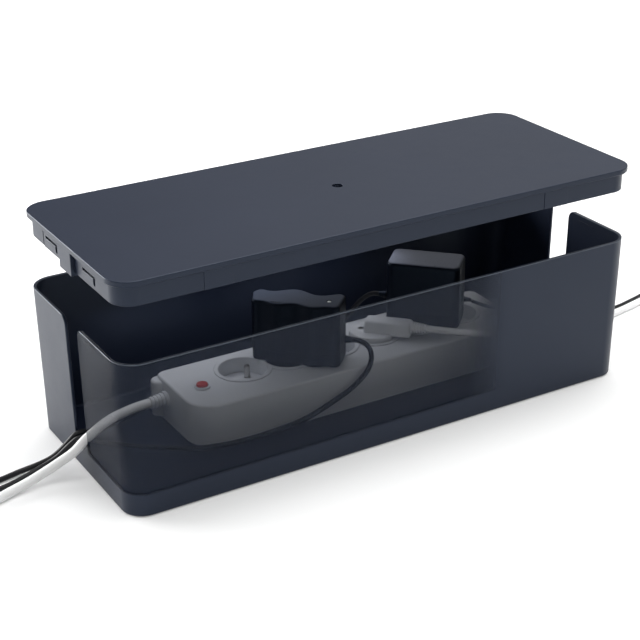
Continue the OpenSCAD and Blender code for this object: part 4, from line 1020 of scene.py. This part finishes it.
flatPlug = {
    "socket": 3, "disc": 18.2, "discFoot": 27.6, "discTop": 43.5, "discEdge": 1.3, "footEdge": 0.6,
    "top": 53, "left": -5.5, "right": 31, "footHalf": 8, "ridgeHalf": 6.5, "edge": 1.7, "corner": 2.2,
    "sunk": 0.8,                                    # how far the ridge starts inside the disc
    "seamAt": 16.4, "seam": 0.3, "seamDepth": 0.25, "seamHalf": 12,
    "pins": (9.5, 2.45, 34), "earth": (10, 2.8, 40),   # place, bore and top of the holes in the face
    "reliefZ": 48.5, "relief": (13, 9.4, 7.6, 6, 8.6, 1.5),
}


def makeFlatPlug(finish):
    # a disc that fills the well, and across it a ridge with a rounded top
    p, disc, bar, cuts = flatPlug, Mould(), Mould(), Mould()
    low, top, edge, sunk = p["discTop"], p["top"], p["edge"], p["sunk"]
    rim = [(p["disc"] - p["footEdge"], p["discFoot"]), (p["disc"], p["discFoot"] + p["footEdge"])]
    disc.lathe(rim + [(p["disc"] - inset, z) for inset, z in roundOver(p["discEdge"], 0, low, 5)], None, 96)
    levels = [(low - sunk + share * (top - edge - low + sunk), 0) for share in (0, 0.35, 0.7)]
    levels += [(top - edge * (1 - sin(a)), edge * (1 - cos(a))) for a in angles(0, 90, 5)]
    rings = []
    for height, pull in levels:
        share = max(0, (height - low) / (top - low))
        half = p["footHalf"] + (p["ridgeHalf"] - p["footHalf"]) * share
        outline = roundedRectangle(p["left"] - 1 + share, -half, p["right"], half, p["corner"], 6)
        rings.append([(x, y, height) for x, y in (insetLoop(outline, pull) if pull else outline)])
    bar.loft(rings)
    (spread, bore, pinTop), (reach, earthBore, earthTop) = p["pins"], p["earth"]
    for x in (-spread, spread):
        cuts.lathe([(bore, 20), (bore, pinTop)], shifted(x), 32)
    cuts.lathe([(earthBore, 20), (earthBore, earthTop)], shifted(0, reach), 32)
    half = p["seam"] / 2
    cuts.block((p["seamAt"] - half, -p["seamHalf"], top - p["seamDepth"]),
               (p["seamAt"] + half, p["seamHalf"], top + 1))
    body = carve(disc.cast("flatPlug"), bar.cast("bar"), "UNION")
    carve(body, cuts.cast("cuts"))
    body.data.transform(scaled(atSocket(p["socket"])))
    return settle(body, finish, ["flat_plug_body"])


plugPlastic = mouldedPlastic("plugPlastic", (0.74, 0.745, 0.755), 0.4, 0.000014, 1300, 0.5)
flatPlugBody = makeFlatPlug(plugPlastic)
gripPlastic = mouldedPlastic("gripPlastic", (0.93, 0.935, 0.95), 0.4, 0.000012, 1300, 0.5)
reliefPlace = atSocket(flatPlug["socket"]) @ shifted(flatPlug["right"], 0, flatPlug["reliefZ"])
flatPlugRelief = makeRelief("flatPlugRelief", "flat_plug_relief", gripPlastic, "strip_plastic", reliefPlace,
                            *flatPlug["relief"])
print("flat plug made")

# ---- far ends of the cords ----

# Profiles are (radius, distance from the cord's end). Sleeves give length, diameters at both ends and ribs.
plug = {
    "sleeve": (18, 9, 12, 6), "neck": [(9.6, 18), (10.7, 18.4), (11, 19)],
    "grooves": 5, "from": 20, "pitch": 2.7, "radius": 11.2, "growth": 0.72,
    "groove": [(0, 0), (0.1, 0.9), (-0.35, 1.2), (-0.3, 1.9), (0.25, 2.2)],
    "head": [(15, 34), (17.2, 34.1), (18.1, 34.6), (18.5, 35.5), (18.5, 49.6), (18.1, 50.6), (17.2, 51)],
    "pinsAt": 9.5, "pinHole": [(2.42, 35), (2.42, 50.6), (3, 51.2), (3, 52)],
    "pin": [(2.4, 34), (2.4, 68.6), (2.25, 69.3), (1.9, 69.8), (1.4, 70), (0.7, 70)],
    "earthAt": 10, "earthHole": [(2.8, 37), (2.8, 50.4), (3.4, 51.2), (3.4, 52)],
}
barrelEnd = {
    "sleeve": (8, 5, 7, 4), "neck": [(4.2, 8), (4.8, 8.25), (5, 8.8)],
    "grooves": 5, "from": 10.2, "pitch": 1.9, "groove": [(5, 0), (4.7, 0.25), (4.7, 0.75), (5, 1)],
    "front": [(5, 21.3), (4.7, 22), (3.1, 22)],
    "barrel": [(1.3, 21.5), (2.75, 21.5), (2.75, 31.2), (2.6, 31.5), (1.5, 31.5), (1.3, 31.3)],
}
# length, width and height of a flat grip and of the metal tongue in it, and the bars on the grip's face
flatEnds = {
    "lead2": {"node": "lead_2_connector", "sleeve": 6, "grip": (18, 11, 6.5), "tongue": (6.5, 7.7, 2.9)},
    "thin": {"node": "thin_connector", "sleeve": 5, "grip": (14, 9, 5.5), "tongue": (5, 6.3, 2.4)},
}
bars = {"count": 4, "first": 0.28, "pitch": 0.14, "width": 0.06,     # shares of the grip's length
        "margin": 2, "rooted": 0.6, "proud": 0.25, "edge": 0.15, "gripEdge": 1.1}
twoWay = {
    "sleeve": (12, 6.4, 8.4, 4), "length": 15.5, "width": 9,
    "neck": [(1.4, 12), (0.5, 12.3), (0.1, 13), (0, 14)], "face": [(0, 33.2), (0.25, 33.8), (0.8, 34)],
    "steps": 3, "from": 16, "pitch": 2, "step": [(0, 0), (0.35, 0.3), (0.35, 0.9), (0, 1.2)],
    "holesAt": 4, "hole": [(1.5, 22), (1.5, 33.4), (2, 34.2), (2, 35)],
}


def atEnd(key):
    coil = windings[key]
    return shifted(*coil["end"], coil["heading"])


def makeMainsPlug(finish):
    # ribbed sleeve, tapered grip with finger grooves, and a round face with an earth hole
    body, cuts, place = Mould(), Mould(), atEnd("mains")
    profile = [(4.3, 0)] + ribs(*plug["sleeve"]) + plug["neck"]
    for i in range(plug["grooves"]):
        at, radius = plug["from"] + i * plug["pitch"], plug["radius"] + plug["growth"] * i
        profile += [(radius + out, at + on) for out, on in plug["groove"]]
    body.lathe(profile + plug["head"], place @ alongX, 72)
    for y in (-plug["pinsAt"], plug["pinsAt"]):
        cuts.lathe(plug["pinHole"], place @ shifted(0, y) @ alongX, 32)
    cuts.lathe(plug["earthHole"], place @ shifted(0, 0, plug["earthAt"]) @ alongX, 32)
    head = carve(body.cast("mainsPlug"), cuts.cast("cuts"))
    return settle(head, finish, ["mains_plug"])


def makePins(finish):
    # round nickel pins, softened at the end
    mould = Mould()
    for y in (-plug["pinsAt"], plug["pinsAt"]):
        mould.lathe(plug["pin"], atEnd("mains") @ shifted(0, y) @ alongX, 40)
    return mould.cast("mainsPlugPins", finish, "pin_nickel", ["mains_plug_pins"])


def makeBarrelConnector(finish):
    profile = [(2.2, 0)] + ribs(*barrelEnd["sleeve"]) + barrelEnd["neck"]
    for i in range(barrelEnd["grooves"]):
        at = barrelEnd["from"] + i * barrelEnd["pitch"]
        profile += [(radius, at + on) for radius, on in barrelEnd["groove"]]
    return turned("lead1Grip", profile + barrelEnd["front"], atEnd("lead1") @ alongX, 48, finish,
                  "adapter_plastic", "lead_1_connector")


def makeFlatGrip(name, key, finish):
    # ribbed sleeve and a flat grip with rounded corners and four shallow bars on its upper face
    mould, place, end, thickness = Mould(), atEnd(key), flatEnds[key], windings[key]["diameter"]
    sleeve, (length, width, height) = end["sleeve"], end["grip"]
    mould.lathe([(thickness / 2, 0)] + ribs(sleeve, thickness + 1, thickness + 2, 3), place @ alongX, 40)
    mould.block((sleeve, -width / 2, -height / 2), (sleeve + length, width / 2, height / 2 - bars["proud"]),
                bars["gripEdge"], place, 4)
    for i in range(bars["count"]):
        at, half = sleeve + length * (bars["first"] + bars["pitch"] * i), width / 2 - bars["margin"]
        mould.block((at, -half, height / 2 - bars["rooted"]),
                    (at + length * bars["width"], half, height / 2), bars["edge"], place)
    return mould.cast(name, finish, "adapter_plastic", [end["node"]])


def makeTongue(name, key, finish):
    # rolled metal shell of a small connector, open at its mouth
    mould, place, end = Mould(), atEnd(key) @ alongX @ shifted(turn=90), flatEnds[key]
    length, width, height = end["tongue"]
    start = end["sleeve"] + end["grip"][0]
    loop = roundedRectangle(-width / 2, -height / 2, width / 2, height / 2, height * 0.3, 5)
    mould.stack(loop, [(0.35, start - 1), (0, start - 1), (0, start + length - 0.15), (0.1, start + length),
                       (0.35, start + length - 0.1)], place, looped=True)
    mould.block((-width / 2 + 0.7, -0.3, start - 0.5), (width / 2 - 0.7, 0.3, start + length - 0.8), 0.1,
                place)
    return mould.cast(name, finish, "pin_nickel", [end["node"]])


def makeApplianceEnd(finish):
    # two-way connector, a pill in section, with flared holes and grip steps
    body, cuts, place = Mould(), Mould(), atEnd("appliance")
    body.lathe([(2.8, 0)] + ribs(*twoWay["sleeve"]), place @ alongX, 40)
    profile = twoWay["neck"][:]
    for i in range(twoWay["steps"]):
        profile += [(inset, twoWay["from"] + i * twoWay["pitch"] + on) for inset, on in twoWay["step"]]
    body.stack(pill(twoWay["length"], twoWay["width"]), profile + twoWay["face"],
               place @ alongX @ shifted(turn=90))
    for y in (-twoWay["holesAt"], twoWay["holesAt"]):
        cuts.lathe(twoWay["hole"], place @ shifted(0, y) @ alongX, 32)
    end = carve(body.cast("applianceEnd"), cuts.cast("cuts"))
    return settle(end, finish, ["appliance_connector"])


nickel = platedMetal("pinNickel", (0.62, 0.61, 0.58), 0.22)
mainsPlug, mainsPins = makeMainsPlug(plugPlastic), makePins(nickel)
lead1Grip = makeBarrelConnector(adapterPlastic)
lead1Barrel = turned("lead1Barrel", barrelEnd["barrel"], atEnd("lead1") @ alongX, 40, nickel, "pin_nickel",
                     "lead_1_connector", looped=True)
lead2Grip = makeFlatGrip("lead2Grip", "lead2", adapterPlastic)
lead2Tongue = makeTongue("lead2Tongue", "lead2", nickel)
thinGrip = makeFlatGrip("thinGrip", "thin", adapterPlastic)
thinTongue = makeTongue("thinTongue", "thin", nickel)
applianceEnd = makeApplianceEnd(plugPlastic)
print("far ends made")

# ---- finishes for the other CAD nodes ----


def boardGreen():
    # solder mask over copper tracks, with tinned pads
    finish = Finish("circuitBoard", {"IOR": 1.5, "Coat Weight": 0.4, "Coat Roughness": 0.2})

    def cells(scale, **settings):
        return finish.node("ShaderNodeTexVoronoi", settings, {"Vector": finish.place(), "Scale": scale},
                           "Distance")

    tracks = finish.rise(cells(260.0, distance="MANHATTAN"), 0.42, 0.46)
    pads = 1 - finish.rise(cells(330.0), 0.16, 0.2)
    shade = finish.tint(tracks, rgb(0.012, 0.09, 0.035), rgb(0.025, 0.15, 0.06))
    finish.drive("Base Color", finish.tint(pads, shade, rgb(0.6, 0.6, 0.58)))
    finish.drive("Metallic", pads * 0.9)
    finish.drive("Roughness", 0.42 - 0.12 * pads)
    finish.bump(tracks + pads, 0.00003)
    return finish


def windingTape():
    # yellow polyester tape in overlapping layers
    finish = Finish("transformerTape", {"IOR": 1.55, "Specular IOR Level": 0.5})
    layers = finish.node("ShaderNodeTexWave", {"bands_direction": "Z"},
                         {"Vector": finish.place(), "Scale": 95.0, "Distortion": 0.6, "Detail": 2.0}, "Fac")
    wrinkle = finish.cloud(240, 4, 0.6, (1, 1, 3))
    finish.drive("Base Color", finish.tint(wrinkle, rgb(0.55, 0.36, 0.05), rgb(0.8, 0.58, 0.14)))
    finish.drive("Roughness", 0.25 + 0.2 * wrinkle)
    finish.bump(layers + 0.5 * wrinkle, 0.00006)
    return finish


def dress(names, finish):
    # a new finish and smooth round faces on a CAD node that stays in view
    for node in [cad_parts[name] for name in names]:
        for slot in node.material_slots:
            slot.material = finish.material
        node.modifiers.new("normals", "WEIGHTED_NORMAL").keep_sharp = True


brass = platedMetal("contactBrass", (0.72, 0.5, 0.19), 0.26)
steel = platedMetal("steel", (0.5, 0.5, 0.51), 0.3)
insulation = cordJacket("wireInsulation", (0.11, 0.2, 0.42), 0.4)
breakerPlastic = mouldedPlastic("breakerPlastic", (0.03, 0.03, 0.032), 0.45)
bothAdapters = ["adapter_1_", "adapter_2_"]
dress(["strip_base"], whitePlastic)
dress(["mains_tail"], cordWhite)
dress(["inner_wires"], insulation)
dress(["live_bar", "neutral_bar", "earth_bar"], brass)
dress(["strip_screws", "clamp_screws", "cord_clamp", "button_spring"], steel)
dress(["breaker"], breakerPlastic)
dress(["earth_pins", "flat_plug_pins"] + [a + "pins" for a in bothAdapters], nickel)
dress([a + "board" for a in bothAdapters], boardGreen())
dress([a + "transformer" for a in bothAdapters], windingTape())
print("inner pieces finished")

# ---- floor, light and background ----

studio = {
    "size": 14, "floor": 0.86, "blue": 0.004,        # floor's side in metres, its grey and its cool tint
    "lift": 0.14,                                    # added to it for the camera and for gloss
    "sky": 1.2, "horizon": 0.34, "rise": (0.2, 0.75),    # overhead, low down, and between which heights
    "leftShare": 0.3, "leftFade": (0.22, 0.56),      # what is left of it to the left
    "frontShare": 0.5, "frontFade": (-0.1, 0.35),    # how much of that fall-off holds in front
    "cool": (0.99, 0.995, 0.98),
}
# place, aim, width, height, power and colour
lamps = {
    "leftBox": ((-1.3, 1.7, 0.55), (-0.2, 0, 0.05), 1.6, 0.9, 54, (1, 1, 1)),
    "topBox": ((0.3, 0.3, 2.0), (0, 0, 0.1), 1.9, 1.6, 42, (1, 1, 1)),
    "innerBox": ((-0.05, 0.045, 0.0995), (-0.05, 0, 0), 0.24, 0.06, 0.07, (0.93, 0.97, 1.06)),
}


def makeFloor():
    bpy.ops.mesh.primitive_plane_add(size=studio["size"])
    floor = bpy.context.object
    floor.name = "studioFloor"
    paper = Finish("floorPaper", {"Roughness": 0.9, "Specular IOR Level": 0.0, "Emission Strength": 1.0})
    grey, lift = studio["floor"], studio["lift"]
    paper.drive("Base Color", paper.tint(paper.cloud(0.8, 2), rgb(grey, grey, grey),
                                         rgb(grey, grey, grey + studio["blue"])))
    path = paper.node("ShaderNodeLightPath").socket.node
    rays = [Wire(paper, path.outputs[n]) for n in ("Is Camera Ray", "Is Glossy Ray", "Is Transmission Ray")]
    shown = paper.node("ShaderNodeMath", {"operation": "MINIMUM"}, {0: rays[0] + rays[1] + rays[2], 1: 1.0})
    paper.drive("Emission Color", paper.tint(shown, rgb(0, 0, 0), rgb(lift, lift, lift)))
    floor.data.materials.append(paper.material)


def makeSky():
    world = bpy.data.worlds.new("studioLight")
    bpy.context.scene.world = world
    light = Finish("", world=world)
    right, behind, up = light.split(light.node("ShaderNodeTexCoord", output="Generated"))
    low, high = [[rgb(*[c * studio[part] * share for c in studio["cool"]])
                  for share in (studio["leftShare"], 1)] for part in ("horizon", "sky")]
    climb = [light.tint(light.rise(up, *studio["rise"]), *pair) for pair in zip(low, high)]
    front = studio["frontShare"]
    fall = front + (1 - front) * light.rise(behind, *studio["frontFade"])
    full = 1 - (1 - light.rise(right, *studio["leftFade"])) * fall
    light.drive("Color", light.tint(full, *climb))
    light.drive("Strength", 1.0)


def softBox(name, place, aim, width, height, power, colour):
    lamp = bpy.data.lights.new(name, "AREA")
    lamp.shape, lamp.size, lamp.size_y, lamp.energy, lamp.color = "RECTANGLE", width, height, power, colour
    body = bpy.data.objects.new(name, lamp)
    bpy.context.scene.collection.objects.link(body)
    body.location = place
    body.rotation_euler = (Vector(aim) - Vector(place)).to_track_quat("-Z", "Y").to_euler()
    return body


makeFloor()
makeSky()
leftBox, topBox, innerBox = [softBox(name, *values) for name, values in lamps.items()]
innerBox.visible_camera = innerBox.visible_glossy = False
bpy.context.scene.view_settings.view_transform = "Standard"
print("studio made")

# ---- each cord's first route point and diameter in metres, worked out and not used ----


def declare(key):
    coil = windings[key]
    [c * mm for c in coil["route"][0]]
    coil["diameter"] * mm


declare("mains")
declare("lead1")
declare("lead2")
declare("appliance")
declare("thin")
